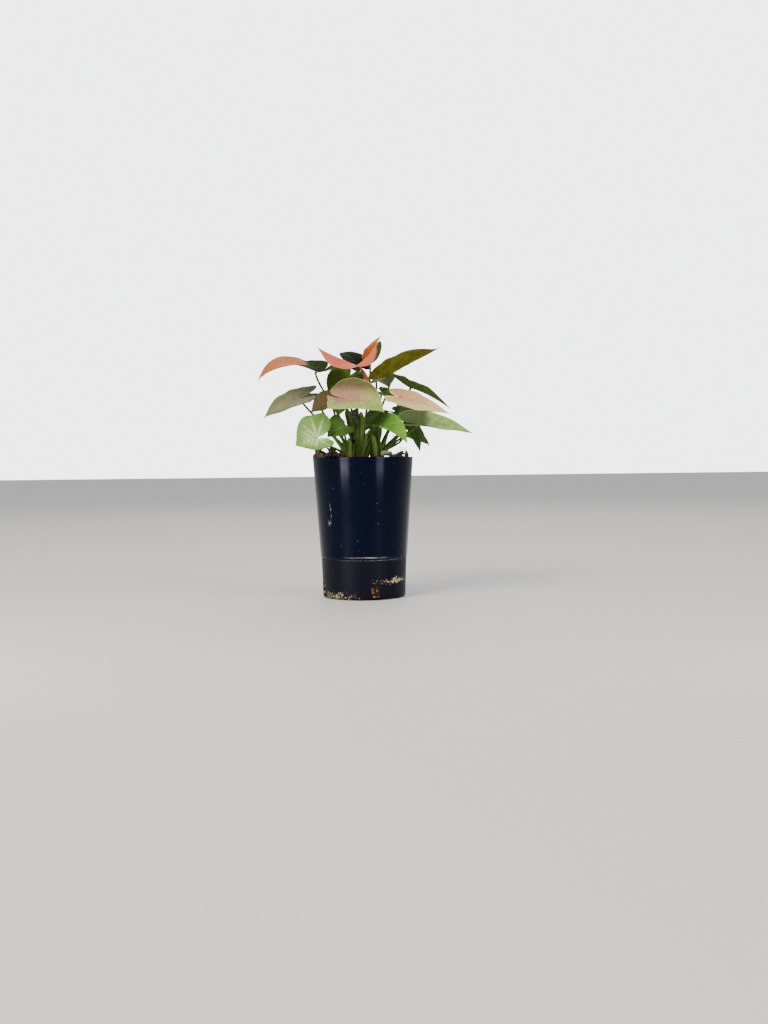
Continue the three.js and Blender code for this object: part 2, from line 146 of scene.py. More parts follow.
def mesh_object(name, points, faces, materials=(), smooth=True):
    """An object in the scene from its points and faces, at the origin."""
    mesh = bpy.data.meshes.new(name)
    mesh.from_pydata([tuple(p) for p in points], [], [tuple(f) for f in faces])
    for one in materials:
        mesh.materials.append(one)
    if smooth:
        mesh.shade_smooth()
    made = bpy.data.objects.new(name, mesh)
    bpy.context.scene.collection.objects.link(made)
    return made


# Matt emulsion, rolled on: an even tone that drifts a little across the floor.
floor_paint, tree, surface = material("matt_painted_floor", Roughness=0.6)
drift = add(tree, "TexNoise", add(tree, "TexCoord", out="Object"), per(333), 3)
put(surface["Base Color"], painted(tree, "#e9e6e1", (drift, "#e2ded8")))
FLOOR_REACH = 12
corners = [(-1, -1), (1, -1), (1, 1), (-1, 1)]
corners = [(x * FLOOR_REACH, y * FLOOR_REACH, 0) for x, y in corners]
mesh_object("floor", corners, [(0, 1, 2, 3)], [floor_paint])

# The world is bright behind the plant and above it, and dark to mirror reflections elsewhere.
world = bpy.data.worlds.new("studio")
world.use_nodes = True
bpy.context.scene.world = world
tree = world.node_tree
toward = add(tree, "SeparateXYZ", add(tree, "TexCoord", out="Generated")).node.outputs
behind = add(tree, "MapRange", toward["Y"], 0.03, 0.16, **SMOOTH)
above = add(tree, "MapRange", toward["Z"], 0.35, 0.7, **SMOOTH)
pale = add(tree, "Math", behind, above, operation="MAXIMUM")
dark = add(tree, "Math", 1.0, pale, operation="SUBTRACT")
ray = add(tree, "LightPath").node.outputs
mirrored = add(tree, "Math", dark, ray["Is Glossy Ray"], operation="MULTIPLY")
strength = add(
    tree, "MapRange", ray["Is Camera Ray"], 0, 1, STUDIO_LIGHT, BACKDROP_LIGHT, **SMOOTH
)
backdrop = tree.nodes["Background"].inputs
put(backdrop["Color"], painted(tree, "#f1f3f7", (mirrored, "#0b0c10")))
put(backdrop["Strength"], strength)

# Three softboxes light the plant, and the glossy wall mirrors two windows as upright streaks.
# Place, height of what it faces on the axis, size, watts, colour, and only mirrored or not.
LIGHTS = {
    "key_softbox": ((-0.9, -1.1, 1.3), 0.18, (0.9, 0.9), 30, "#fff6ea", False),
    "fill_softbox": ((1.2, -0.8, 0.9), 0.18, (1.0, 0.8), 8, "#eef3ff", False),
    "back_softbox": ((0.2, 1.6, 1.7), 0.2, (1.4, 0.8), 12, "#ffffff", False),
    "left_window": ((-0.36, -0.422, 0.19), 0.19, (0.18, 0.27), 4.9, "#ffecd8", True),
    "right_window": ((0.345, -0.43, 0.19), 0.19, (0.15, 0.27), 2.3, "#fff0e0", True),
}
for name, (place, facing, size, watts, colour, only_mirrored) in LIGHTS.items():
    data = bpy.data.lights.new(name, "AREA")
    data.shape = "RECTANGLE"
    data.size, data.size_y = size
    data.energy = watts
    data.color = linear(colour)[:3]
    lamp = bpy.data.objects.new(name, data)
    lamp.location = place
    way = Vector((0, 0, facing)) - Vector(place)
    lamp.rotation_euler = way.to_track_quat("-Z", "Y").to_euler()
    lamp.visible_camera = False
    lamp.visible_diffuse = not only_mirrored
    bpy.context.scene.collection.objects.link(lamp)


# ------------------------------------------------------------------ pot
# A nursery pot moulded in one piece of black polypropylene: a glossy cone over a duller foot,
# with a small step between them and a round-topped drain notch on each side of the foot.
POT_HEIGHT = 0.139
RIM_RADIUS = 0.050
SHOULDER = 0.041
SHOULDER_RADIUS = 0.0432
FOOT_TOP_RADIUS = 0.0425
FOOT_BASE_RADIUS = 0.0412
FOOT_ROUNDING = 0.0025
BASE_RAISED = 0.0006  # the underside inside the ring that the pot stands on
RING_RADIUS = 0.031
POT_WALL = 0.0012
POT_FLOOR = 0.0016
POT_SIDES = 192
NOTCH_WIDTH = 0.011
NOTCH_SILL = 0.0022
NOTCH_TOP = 0.015
NOTCH_ANGLES = [math.radians(17 + 90 * i) for i in range(4)]  # from the front towards +X


def wall_radius(z):
    """Radius of the pot's outside at a height."""
    if z >= SHOULDER:
        share = (z - SHOULDER) / (POT_HEIGHT - SHOULDER)
        return SHOULDER_RADIUS + (RIM_RADIUS - SHOULDER_RADIUS) * share
    return FOOT_BASE_RADIUS + (FOOT_TOP_RADIUS - FOOT_BASE_RADIUS) * z / SHOULDER


def corner(at, radius, start, end, steps=6):
    """Points of a rounded corner between two angles in degrees."""
    angles = np.radians(np.linspace(start, end, steps))
    return [(at[0] + radius * math.cos(a), at[1] + radius * math.sin(a)) for a in angles]


def lathe(profile, sides):
    """Points and faces of a closed shape turned about Z, from its profile's (radius, z)."""
    points = []
    rows = []
    for r, z in profile:
        if r < 1e-6:
            rows.append([len(points)] * sides)
            points.append((0, 0, z))
            continue
        rows.append(list(range(len(points), len(points) + sides)))
        for j in range(sides):
            a = 2 * math.pi * j / sides
            points.append((r * math.cos(a), r * math.sin(a), z))
    faces = []
    for low, high in zip(rows, rows[1:]):
        for j in range(sides):
            k = (j + 1) % sides
            face = [low[j], low[k], high[k], high[j]]
            faces.append(list(dict.fromkeys(face)))
    return points, faces


def notch_plug(angle):
    """A round-topped block that cuts one drain notch through the wall."""
    half = NOTCH_WIDTH / 2
    arch = [(-half, NOTCH_SILL), (half, NOTCH_SILL)]
    arch += corner((0, NOTCH_TOP - half), half, 0, 180, 17)
    count = len(arch)
    inside, outside = FOOT_BASE_RADIUS - 0.0052, FOOT_BASE_RADIUS + 0.0068
    points = [(x, -depth, z) for depth in (inside, outside) for x, z in arch]
    faces = [list(range(count))[::-1], list(range(count, 2 * count))]
    for j in range(count):
        k = (j + 1) % count
        faces.append([j, k, count + k, count + j])
    plug = mesh_object("notch_plug", points, faces, smooth=False)
    plug.data.transform(Matrix.Rotation(angle, 4, "Z"))
    shape = bmesh.new()
    shape.from_mesh(plug.data)
    bmesh.ops.recalc_face_normals(shape, faces=shape.faces)
    shape.to_mesh(plug.data)
    shape.free()
    return plug


def sharpen(mesh, degrees):
    """Keeps the edges hard where two faces meet at more than an angle."""
    shape = bmesh.new()
    shape.from_mesh(mesh)
    for edge in shape.edges:
        if len(edge.link_faces) == 2:
            edge.smooth = edge.calc_face_angle(0.0) < math.radians(degrees)
    shape.to_mesh(mesh)
    shape.free()


profile = [(0, BASE_RAISED), (RING_RADIUS - 0.001, BASE_RAISED), (RING_RADIUS, 0)]
profile += corner((FOOT_BASE_RADIUS - FOOT_ROUNDING, FOOT_ROUNDING), FOOT_ROUNDING, -90, 0)
profile += [(wall_radius(z), z) for z in np.linspace(0.004, SHOULDER - 0.0025, 16)]
profile += corner((FOOT_TOP_RADIUS - 0.0004, SHOULDER - 0.0018), 0.0004, 0, 60, 3)
profile += corner((SHOULDER_RADIUS - 0.0006, SHOULDER), 0.0006, -60, 0, 4)
profile += [(wall_radius(z), z) for z in np.linspace(SHOULDER + 0.002, POT_HEIGHT - 0.0015, 14)]
rim = (RIM_RADIUS - POT_WALL / 2, POT_HEIGHT - POT_WALL / 2)
profile += corner(rim, POT_WALL / 2, 0, 180, 9)
profile += [(SHOULDER_RADIUS - POT_WALL, SHOULDER), (FOOT_TOP_RADIUS - POT_WALL, SHOULDER - 0.0015)]
profile += [(wall_radius(POT_FLOOR) - POT_WALL, POT_FLOOR), (0, POT_FLOOR)]
pot = mesh_object("pot_shell", *lathe(profile, POT_SIDES))

plugs = bpy.data.collections.new("notch_plugs")
for angle in NOTCH_ANGLES:
    plugs.objects.link(notch_plug(angle))
cut = pot.modifiers.new("notches", "BOOLEAN")
cut.operand_type = "COLLECTION"
cut.collection = plugs
cut.solver = "EXACT"
evaluated = pot.evaluated_get(bpy.context.evaluated_depsgraph_get())
pot.data = bpy.data.meshes.new_from_object(evaluated)
pot.modifiers.remove(cut)
for plug in list(plugs.objects):
    bpy.data.objects.remove(plug)
bpy.data.collections.remove(plugs)
sharpen(pot.data, 42)


def overlap(tree, *patterns):
    """Where all of some patterns lie: their product."""
    made = patterns[0]
    for pattern in patterns[1:]:
        made = add(tree, "Math", made, pattern, operation="MULTIPLY")
    return made


def band(tree, value, middle, reach):
    """One where a value is at the middle, falling to zero past its reach on both sides."""
    away = add(tree, "Math", value, middle, operation="SUBTRACT")
    away = add(tree, "Math", away, operation="ABSOLUTE")
    return add(tree, "MapRange", away, 0, reach, 1, 0, **SMOOTH)


def mark(tree, height, turn, spot):
    """A mark on the wall at its own height and turn, which fades out towards its ends."""
    return overlap(tree, band(tree, height, *spot[0]), band(tree, turn, *spot[1]))


def uneven(tree, value, pattern, reach):
    """A value moved up and down by a pattern, over a reach in all."""
    low = add(tree, "Math", value, -reach / 2)
    return add(tree, "Math", pattern, reach, low, operation="MULTIPLY_ADD")


# Polypropylene, moulded against polished steel on the cone and left dull on the foot: nearly
# black, with a blue cast where it shines. The step is rubbed white, lime from hard water has
# dried over the front notch and along the bottom edge, and a curled scratch and specks of dust
# mark the cone. Each mark has the middle of its height in millimetres and of its turn in
# degrees from the front, each with its reach to both sides.
UPPER_SCUFF = ((41.6, 1.1), (6, 42))
LOWER_SCUFF = ((38.9, 0.5), (24, 75))
LIME_OVER_NOTCH = ((18.4, 4.4), (48, 52))
LIME_ALONG_EDGE = ((3.0, 6.0), (-40, 48))
CURL_SCRATCH = ((84.5, 10), (-45.5, 3.6))

plastic, tree, surface = material(
    "injection_moulded_polypropylene",
    IOR=1.45, Specular_IOR_Level=0.14, Specular_Tint="#c0ccff",
)
place = add(tree, "TexCoord", out="Object")
across, deep, up = add(tree, "SeparateXYZ", place).node.outputs
height = add(tree, "Math", up, 1 / MM, operation="MULTIPLY")
front = add(tree, "Math", deep, -1, operation="MULTIPLY")
turn = add(tree, "Math", across, front, operation="ARCTAN2")
turn = add(tree, "Math", turn, operation="DEGREES")
cloudy = add(tree, "TexNoise", place, per(22.2), 5, 0.6)
foot = add(tree, "MapRange", height, SHOULDER / MM - 1.5, SHOULDER / MM + 0.5, 1, 0, **SMOOTH)

# Scuffs, rubbed off in fine lines round the step.
stretch = add(tree, "Mapping", place, Scale=(per(4.55), per(4.55), per(1.111)))
rubbed = add(tree, "MapRange", add(tree, "TexNoise", stretch, 1, 3, 0.7), 0.38, 0.62, **SMOOTH)
upper_scuff = mark(tree, height, turn, UPPER_SCUFF)
lower_scuff = overlap(tree, mark(tree, height, turn, LOWER_SCUFF), 0.7)
scuff = add(tree, "Math", upper_scuff, lower_scuff, operation="MAXIMUM")
scuff = overlap(tree, scuff, rubbed)

# Lime, with a ragged outline and broken up into flakes.
ragged = uneven(tree, height, add(tree, "TexNoise", place, per(6.25), 4, 0.6), 12)
over_notch = overlap(tree, mark(tree, ragged, turn, LIME_OVER_NOTCH), 0.8)
along_edge = overlap(tree, mark(tree, ragged, turn, LIME_ALONG_EDGE), 0.65)
lime = add(tree, "Math", over_notch, along_edge, operation="MAXIMUM")
broken = uneven(tree, lime, add(tree, "TexNoise", place, per(1.613), 3, 0.65), 4)
broken = add(tree, "MapRange", broken, 0.5, 0.95, **SMOOTH)
lime = overlap(tree, broken, add(tree, "MapRange", lime, 0.05, 0.2, **SMOOTH))

# The scratch: the lower right part of a ring, with gaps.
(curl_height, curl_tall), (curl_turn, curl_wide) = CURL_SCRATCH
across_curl = add(tree, "Math", turn, curl_turn, operation="SUBTRACT")
across_curl = add(tree, "Math", across_curl, curl_wide, operation="DIVIDE")
up_curl = uneven(tree, height, cloudy, 4)
up_curl = add(tree, "Math", up_curl, curl_height, operation="SUBTRACT")
up_curl = add(tree, "Math", up_curl, curl_tall, operation="DIVIDE")
from_curl = add(tree, "CombineXYZ", across_curl, up_curl)
from_curl = add(tree, "VectorMath", from_curl, operation="LENGTH")
low_right = add(tree, "Math", across_curl, up_curl, operation="SUBTRACT")
low_right = add(tree, "MapRange", low_right, -0.7, 0.9, **SMOOTH)
gaps = add(tree, "MapRange", add(tree, "TexNoise", place, per(2.38), 3), 0.42, 0.6, **SMOOTH)
scratch = overlap(tree, band(tree, from_curl, 1, 0.3), low_right, gaps)

# Specks of dust on the cone, and dust that water has run down the foot.
cells = add(tree, "TexVoronoi", place, Scale=per(4.76)).node.outputs
some_cells = add(tree, "MapRange", cells["Color"], 0.6, 0.66, **SMOOTH)
specks = add(tree, "MapRange", cells["Distance"], 0.05, 0.11, 1, 0, **SMOOTH)
specks = overlap(tree, specks, some_cells, 0.5)
marks = add(tree, "Math", scratch, specks, operation="MAXIMUM")
runs = add(tree, "Mapping", place, Scale=(per(2.38), per(2.38), per(33.3)))
dust = overlap(tree, add(tree, "TexNoise", runs, 1, 3, 0.6), foot, 0.3)

coats = [(foot, "#050510"), (dust, "#24242a"), (overlap(tree, marks, 0.9), "#9a9da2")]
coats += [(scuff, "#a4a4a8"), (lime, "#cabd96")]
put(surface["Base Color"], painted(tree, "#01051a", *coats))
worn = add(tree, "Math", scuff, lime, operation="MAXIMUM")
rough = add(tree, "MapRange", cloudy, 0.3, 0.7, 0.11, 0.16, **SMOOTH)
rough = add(tree, "Math", foot, 0.28, rough, operation="MULTIPLY_ADD")
rough = add(tree, "Math", worn, 0.5, rough, operation="MULTIPLY_ADD")
put(surface["Roughness"], rough)
# A grain in the moulded skin, drawn 1.1 mm wide, because a finer one wouldn't show.
fine = add(tree, "TexNoise", place, per(1.111), 3, 0.6)
raised = add(tree, "Math", fine, 0.06, lime, operation="MULTIPLY_ADD")
put(surface["Normal"], add(tree, "Bump", Height=raised, Distance=0.4 * MM, Strength=0.6))
pot.data.materials.append(plastic)

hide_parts("pot")
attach(pot, "root")


# ------------------------------------------------------------------ compost
# Damp peat pressed into the pot and heaped at the left, with bark chips, crumbs, pale grains
# and a few fine roots strewn on top. Beads and crumbs in it show through the drain notches.
SHOOTS = {
    "centre": (-1, -5),
    "left": (-13, -14),
    "right": (16, -10),
    "back_left": (-9, 13),
    "back_right": (12, 15),
}
SOIL_LEVEL = 133  # millimetres
WALL_GAP = 0.0004  # between the compost and the pot


def soil_height(x, y):
    """Height in millimetres of the compost's top under a point in millimetres."""
    mound = 1.4 * np.cos(np.pi * np.hypot(x, y) / 100)
    ripple = 0.7 * np.sin(0.31 * x + 1.2) * np.cos(0.27 * y - 0.5)
    left_heap = 8 * np.exp(-((x + 32) ** 2 + (y + 6) ** 2) / 180)
    return SOIL_LEVEL + mound + ripple + left_heap


TOP = 1.0  # stands for the top in a profile, until soil_height gives its real height
random = np.random.default_rng(11)
filling = POT_FLOOR + WALL_GAP
profile = [(0, filling), (wall_radius(0.002) - POT_WALL - WALL_GAP, filling)]
for z in (0.01, 0.02, SHOULDER - 0.0015, SHOULDER + 0.0001, 0.131):
    profile.append((wall_radius(z) - POT_WALL - WALL_GAP, z))
profile += [(r, TOP) for r in np.linspace(0.046, 0.0, 34)]
points, faces = lathe(profile, 120)
points = np.array(points)
top = points[:, 2] > TOP - 0.1
x, y = points[top, 0] / MM, points[top, 1] / MM
grain = 0.35 * np.sin(1.9 * x + 0.7 * y) * np.sin(1.3 * y - 0.4 * x)
grain += random.uniform(-0.45, 0.45, top.sum())
points[top, 2] = (soil_height(x, y) + grain) * MM
soil_body = mesh_object("compost_body", points, faces)

# Damp crumbled peat: nearly black and without a sheen, with browner fibres in patches. Its
# crumbs are drawn 1.4 mm wide, because finer ones wouldn't show.
peat, tree, surface = material("damp_peat_compost", Roughness=0.92, Specular_IOR_Level=0.25)
place = add(tree, "TexCoord", out="Object")
fibres = add(tree, "TexNoise", place, per(2.63), 5, 0.7)
fibres = add(tree, "MapRange", fibres, 0.35, 0.7, **SMOOTH)
patches = add(tree, "MapRange", add(tree, "TexNoise", place, per(11.1), 3), 0.5, 0.8, **SMOOTH)
put(surface["Base Color"], painted(tree, "#17100b", (fibres, "#3a2c20"), (patches, "#4a2f1e")))
crumbly = add(tree, "TexNoise", place, per(1.43), 5, 0.7)
put(surface["Normal"], add(tree, "Bump", Height=crumbly, Distance=0.8 * MM))
soil_body.data.materials.append(peat)

# Pine bark split along its grain: dull dark fibres, lighter where a face is fresh. The fibres
# are drawn 1.1 mm wide, because finer ones wouldn't show.
bark, tree, surface = material("split_pine_bark", Roughness=0.8)
place = add(tree, "TexCoord", out="Object")
grain = add(tree, "Mapping", place, Scale=(per(6.25), per(1.111), per(1.111)))
grain = add(tree, "TexNoise", grain, 1, 4, 0.7)
fibres = add(tree, "MapRange", grain, 0.35, 0.7, **SMOOTH)
fresh = add(tree, "MapRange", add(tree, "TexNoise", place, per(7.69), 2), 0.52, 0.66, **SMOOTH)
put(surface["Base Color"], painted(tree, "#181009", (fibres, "#463524"), (fresh, "#5a4636")))
put(surface["Normal"], add(tree, "Bump", Height=grain, Distance=0.7 * MM))

# Perlite, a puffed volcanic glass gone dingy with peat: pale and quite dull.
grit = material("white_perlite", Roughness=0.9, Base_Color="#a9a58e")[0]


def lump(name, size, seed, roughness=0.25, cuts=2):
    """An irregular stone or chip of a given size in millimetres, resting round its origin."""
    shape = bmesh.new()
    bmesh.ops.create_icosphere(shape, subdivisions=cuts, radius=0.5)
    own = np.random.default_rng(seed)
    lean = own.normal(0, 1, (3, 3))
    for vertex in shape.verts:
        p = np.array(vertex.co)
        p = np.sign(p) * np.abs(p) ** 0.75
        p *= 1 + roughness * np.sin(3.1 * p @ lean[0] + seed) * np.cos(2.3 * p @ lean[1])
        vertex.co = Vector(p * size * MM)
    mesh = bpy.data.meshes.new(name)
    shape.to_mesh(mesh)
    shape.free()
    return bpy.data.objects.new(name, mesh)


def scatter(name, ground, shapes, density, seed, sizes, coat):
    """Strews copies of the shapes over the upward faces of the ground, as one mesh."""
    kinds = bpy.data.collections.new(name + "_shapes")
    for shape in shapes:
        kinds.objects.link(shape)
    values = {"Density": density, "Seed": seed, "Smallest": sizes[0], "Largest": sizes[1]}
    values.update({"Shapes": kinds, "Coat": coat})
    types = {"Ground": "Geometry", "Seed": "Int", "Shapes": "Collection", "Coat": "Material"}
    group = bpy.data.node_groups.new(name, "GeometryNodeTree")
    sockets = {}
    for label in ("Ground", *values):
        kind = "NodeSocket" + types.get(label, "Float")
        sockets[label] = group.interface.new_socket(label, in_out="INPUT", socket_type=kind)
    group.interface.new_socket("Strewn", in_out="OUTPUT", socket_type="NodeSocketGeometry")

    given = add(group, "NodeGroupInput").node.outputs
    upward = add(group, "SeparateXYZ", add(group, "GeometryNodeInputNormal"), out="Z")
    upward = add(group, "FunctionNodeCompare", upward, 0.5)
    spread = add(
        group, "GeometryNodeDistributePointsOnFaces",
        Mesh=given["Ground"], Selection=upward, Density=given["Density"], Seed=given["Seed"],
    )
    pick = add(
        group, "GeometryNodeCollectionInfo",
        Collection=given["Shapes"], Separate_Children=True, Reset_Children=True,
    )
    tipped = add(
        group, "FunctionNodeRandomValue", (-0.5, -0.5, 0), (0.5, 0.5, 6.283),
        data_type="FLOAT_VECTOR", Seed=given["Seed"],
    )
    size = add(
        group, "FunctionNodeRandomValue", given["Smallest"], given["Largest"],
        data_type="FLOAT", Seed=given["Seed"],
    )
    strewn = add(
        group, "GeometryNodeInstanceOnPoints",
        Points=spread, Instance=pick, Pick_Instance=True, Rotation=tipped, Scale=size,
    )
    strewn = add(group, "GeometryNodeRealizeInstances", strewn)
    strewn = add(group, "GeometryNodeSetMaterial", Geometry=strewn, Material=given["Coat"])
    add(group, "NodeGroupOutput", strewn)

    carrier = bpy.data.objects.new(name, ground.data.copy())
    bpy.context.scene.collection.objects.link(carrier)
    work = carrier.modifiers.new("scatter", "NODES")
    work.node_group = group
    for label, value in values.items():
        work[sockets[label].identifier] = value
    evaluated = carrier.evaluated_get(bpy.context.evaluated_depsgraph_get())
    carrier.data = bpy.data.meshes.new_from_object(evaluated)
    carrier.modifiers.remove(work)
    for shape in shapes:
        bpy.data.objects.remove(shape)
    bpy.data.collections.remove(kinds)
    bpy.data.node_groups.remove(group)
    return carrier


def ground(radius):
    """The compost's top out to a radius, for strewing things on."""
    points, faces = lathe([(r, TOP) for r in np.linspace(radius, 0.0, 30)], 90)
    points = np.array(points)
    points[:, 2] = soil_height(points[:, 0] / MM, points[:, 1] / MM) * MM
    return mesh_object("ground", points, faces)


# How many to the square metre, a seed, and the smallest and the largest as a share of the
# shape's size.
inner, middle = ground(0.0405), ground(0.0455)
crumb_shapes = [lump(f"crumb_{i}", (1.6, 1.3, 1.0), 30 + i, 0.35, 1) for i in range(4)]
crumbs = scatter("compost_crumbs", middle, crumb_shapes, 260000, 5, (0.5, 1.4), peat)
chip_shapes = [lump(f"chip_{i}", (6, 3, 1.8), 50 + i, 0.4) for i in range(5)]
chips = scatter("bark_chips", inner, chip_shapes, 17000, 8, (0.5, 1.3), bark)
grain_shapes = [lump(f"grain_{i}", (2.2, 1.9, 1.6), 70 + i, 0.3) for i in range(2)]
grains = scatter("perlite_grains", middle, grain_shapes, 2600, 3, (0.6, 1.2), grit)
for used in (inner, middle):
    bpy.data.objects.remove(used)


def lay(piece, at, coat, turned=0, tilted=0):
    """Sets a lump down at a place in millimetres, tilted and turned by angles in degrees."""
    piece.data.transform(Matrix.Rotation(math.radians(tilted), 4, "Y"))
    piece.data.transform(Matrix.Rotation(math.radians(turned), 4, "Z"))
    piece.data.transform(Matrix.Translation(Vector(at) * MM))
    piece.data.materials.append(coat)
    piece.data.shade_smooth()
    bpy.context.scene.collection.objects.link(piece)
    return piece


# The chips of the heap that stick up above the left rim, and two by the right rim: place and
# size in millimetres, turn and tilt in degrees.
HEAP = [
    ((-46, -10, 140), (9, 5, 4), 20, -30),
    ((-45, -9, 144), (7, 4, 3), 70, 40),
    ((-41, -12, 141), (8, 5, 5), -30, 25),
    ((-42, -13, 146), (6, 3, 2.5), 35, -45),
    ((-36, -18, 140), (9, 5, 4), 10, 15),
    ((-32, -20, 142), (9, 5, 4), -25, -35),
    ((-30, -21, 146), (8, 3.5, 3), 15, 20),
    ((-26, -22, 141), (8, 5, 4), 50, 30),
    ((-22, -24, 142), (7, 4, 3), 0, -30),
    ((-20, -26, 139), (7, 4, 4), 80, 10),
    ((-38, -2, 142), (9, 5, 4), 60, 20),
    ((-33, 4, 140), (9, 6, 4), 10, 15),
    ((33, -24, 138), (10, 6, 6), 30, 15),
    ((36, -20, 141), (8, 4, 3), -20, -25),
]
bits = []
for i, (at, size, turned, tilted) in enumerate(HEAP):
    bits.append(lay(lump(f"heap_chip_{i}", size, 90 + i, 0.45, 3), at, bark, turned, tilted))

# Fertiliser beads, coated with resin: smooth and amber, with a soft shine.
beads = material("resin_coated_fertiliser", Roughness=0.35, Base_Color="#8c4c14")[0]
# Bits of old stalk, bleached as they dried: pale and dull.
pale_bit = material("dried_pale_stalk_bit", Roughness=0.75, Base_Color="#98a077")[0]

# Pale bits and a grain on top, then beads and crumbs that show in the front notch and in the
# left one: place and size in millimetres, and the material.
notch_x, notch_y = math.sin(NOTCH_ANGLES[0]), -math.cos(NOTCH_ANGLES[0])
BITS = [
    ((22.5, -24, 142.5), (6, 4, 4), pale_bit),
    ((26.5, -22, 142), (4, 3.5, 3.2), pale_bit),
    ((20, -22, 141), (3.5, 3, 3), grit),
    ((40.6 * notch_x - 3.6, 40.6 * notch_y - 0.6, 10.5), (1.6, 1.4, 2.4), beads),
    ((40.4 * notch_x - 2.9, 40.4 * notch_y - 0.4, 7.4), (1.4, 1.2, 1.6), beads),
    ((40.2 * notch_x - 1.8, 40.2 * notch_y, 3.4), (2.0, 1.4, 1.0), pale_bit),
    ((40.2 * notch_x + 0.8, 40.2 * notch_y, 3.3), (1.6, 1.2, 1.1), bark),
    ((40.5 * notch_x + 1.2, 40.5 * notch_y + 0.2, 9.0), (1.5, 1.2, 1.6), beads),
    ((-38.9, -9.4, 11.5), (1.6, 2.0, 2.8), beads),
    ((-39.2, -10.4, 5.5), (1.4, 1.8, 1.8), pale_bit),
    ((40.2 * notch_x + 2.8, 40.2 * notch_y + 0.5, 3.6), (1.5, 1.2, 1.3), bark),
]
for i, (at, size, coat) in enumerate(BITS):
    bits.append(lay(lump(f"bit_{i}", size, 120 + i, 0.35, 3), at, coat))


def curve_points(a, b, c, d, steps):
    """Points along a Bezier curve."""
    t = np.linspace(0, 1, steps + 1)[:, None]
    return a * (1 - t) ** 3 + 3 * b * t * (1 - t) ** 2 + 3 * c * t**2 * (1 - t) + d * t**3


def tube(path, radii, groove, seed, sides=12):
    """Points, faces and skin places of a closed tube along a path, grooved on one side."""
    path = np.array(path, float)
    tangents = np.gradient(path, axis=0)
    tangents /= np.linalg.norm(tangents, axis=1)[:, None]
    side = np.cross(tangents[0], (0.3, 0.2, 1.0))
    points, places = [], []
    angles = 2 * np.pi * np.arange(sides) / sides
    for i, (centre, tangent) in enumerate(zip(path, tangents)):
        side = side - side @ tangent * tangent
        side /= np.linalg.norm(side)
        other = np.cross(tangent, side)
        dent = 1 - groove[i] * np.exp(-((np.minimum(angles, 2 * np.pi - angles)) ** 2) / 0.25)
        for a, shrink in zip(angles, dent):
            ray = side * math.cos(a) + other * math.sin(a)
            points.append(centre + ray * radii[i] * shrink)
            places.append((i / (len(path) - 1), seed + math.cos(a), math.sin(a)))
    faces = []
    for i in range(len(path) - 1):
        for j in range(sides):
            a, b = i * sides + j, i * sides + (j + 1) % sides
            faces.append((a, b, b + sides, a + sides))
    faces.append(tuple(range(sides))[::-1])
    last = (len(path) - 1) * sides
    faces.append(tuple(last + j for j in range(sides)))
    return points, faces, places


# Fine roots that stick up by the right rim, dried hard and straw-coloured: where each starts,
# bends and ends, in millimetres like their radii.
ROOTS = [
    ((34, -14, 134), (37, -14, 146), (41, -13, 152), (39, -12, 147)),
    ((38, -12, 134), (36, -12, 142), (43, -11, 150), (45, -12, 149)),
    ((30, -18, 134), (33, -17, 142), (35, -16, 150), (38, -16, 148)),
]
dry_root = material("dry_fine_root", Roughness=0.8, Base_Color="#a88c74")[0]
root_radii = [0.3] * 12 + [0.25, 0.2, 0.15, 0.12, 0.1]
for i, ends in enumerate(ROOTS):
    path = curve_points(*(np.array(end, float) for end in ends), len(root_radii) - 1)
    points, faces, places = tube(path, root_radii, [0] * len(root_radii), i, 6)
    bits.append(mesh_object(f"root_{i}", np.array(points) * MM, faces, [dry_root]))


def join(name, parts):
    """Joins objects that stand at the origin into the first one."""
    with bpy.context.temp_override(active_object=parts[0], selected_editable_objects=parts):
        bpy.ops.object.join()
    parts[0].name = name
    return parts[0]


soil = join("compost", [soil_body, crumbs, chips, grains] + bits)
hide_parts("soil")
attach(soil, "root")


# ------------------------------------------------------------------ leaves
# Arrow-shaped blades, each grown in one piece with its stalk. A blade is bent from a flat arrow
# shape by the same rules as its solid, with a rounded margin, thin edges and a slight ripple,
# and it bulges up between its side veins.

# Half of the flat outline, from the tip to the stalk: share of the length, and of half the width.
HALF_OUTLINE = [
    (1.0, 0.0),
    (0.94, 0.05),
    (0.84, 0.21),
    (0.68, 0.51),
    (0.48, 0.8),
    (0.26, 0.96),
    (0.04, 1.0),
    (-0.15, 0.93),
    (-0.29, 0.75),
    (-0.37, 0.48),
    (-0.31, 0.22),
    (-0.15, 0.07),
]

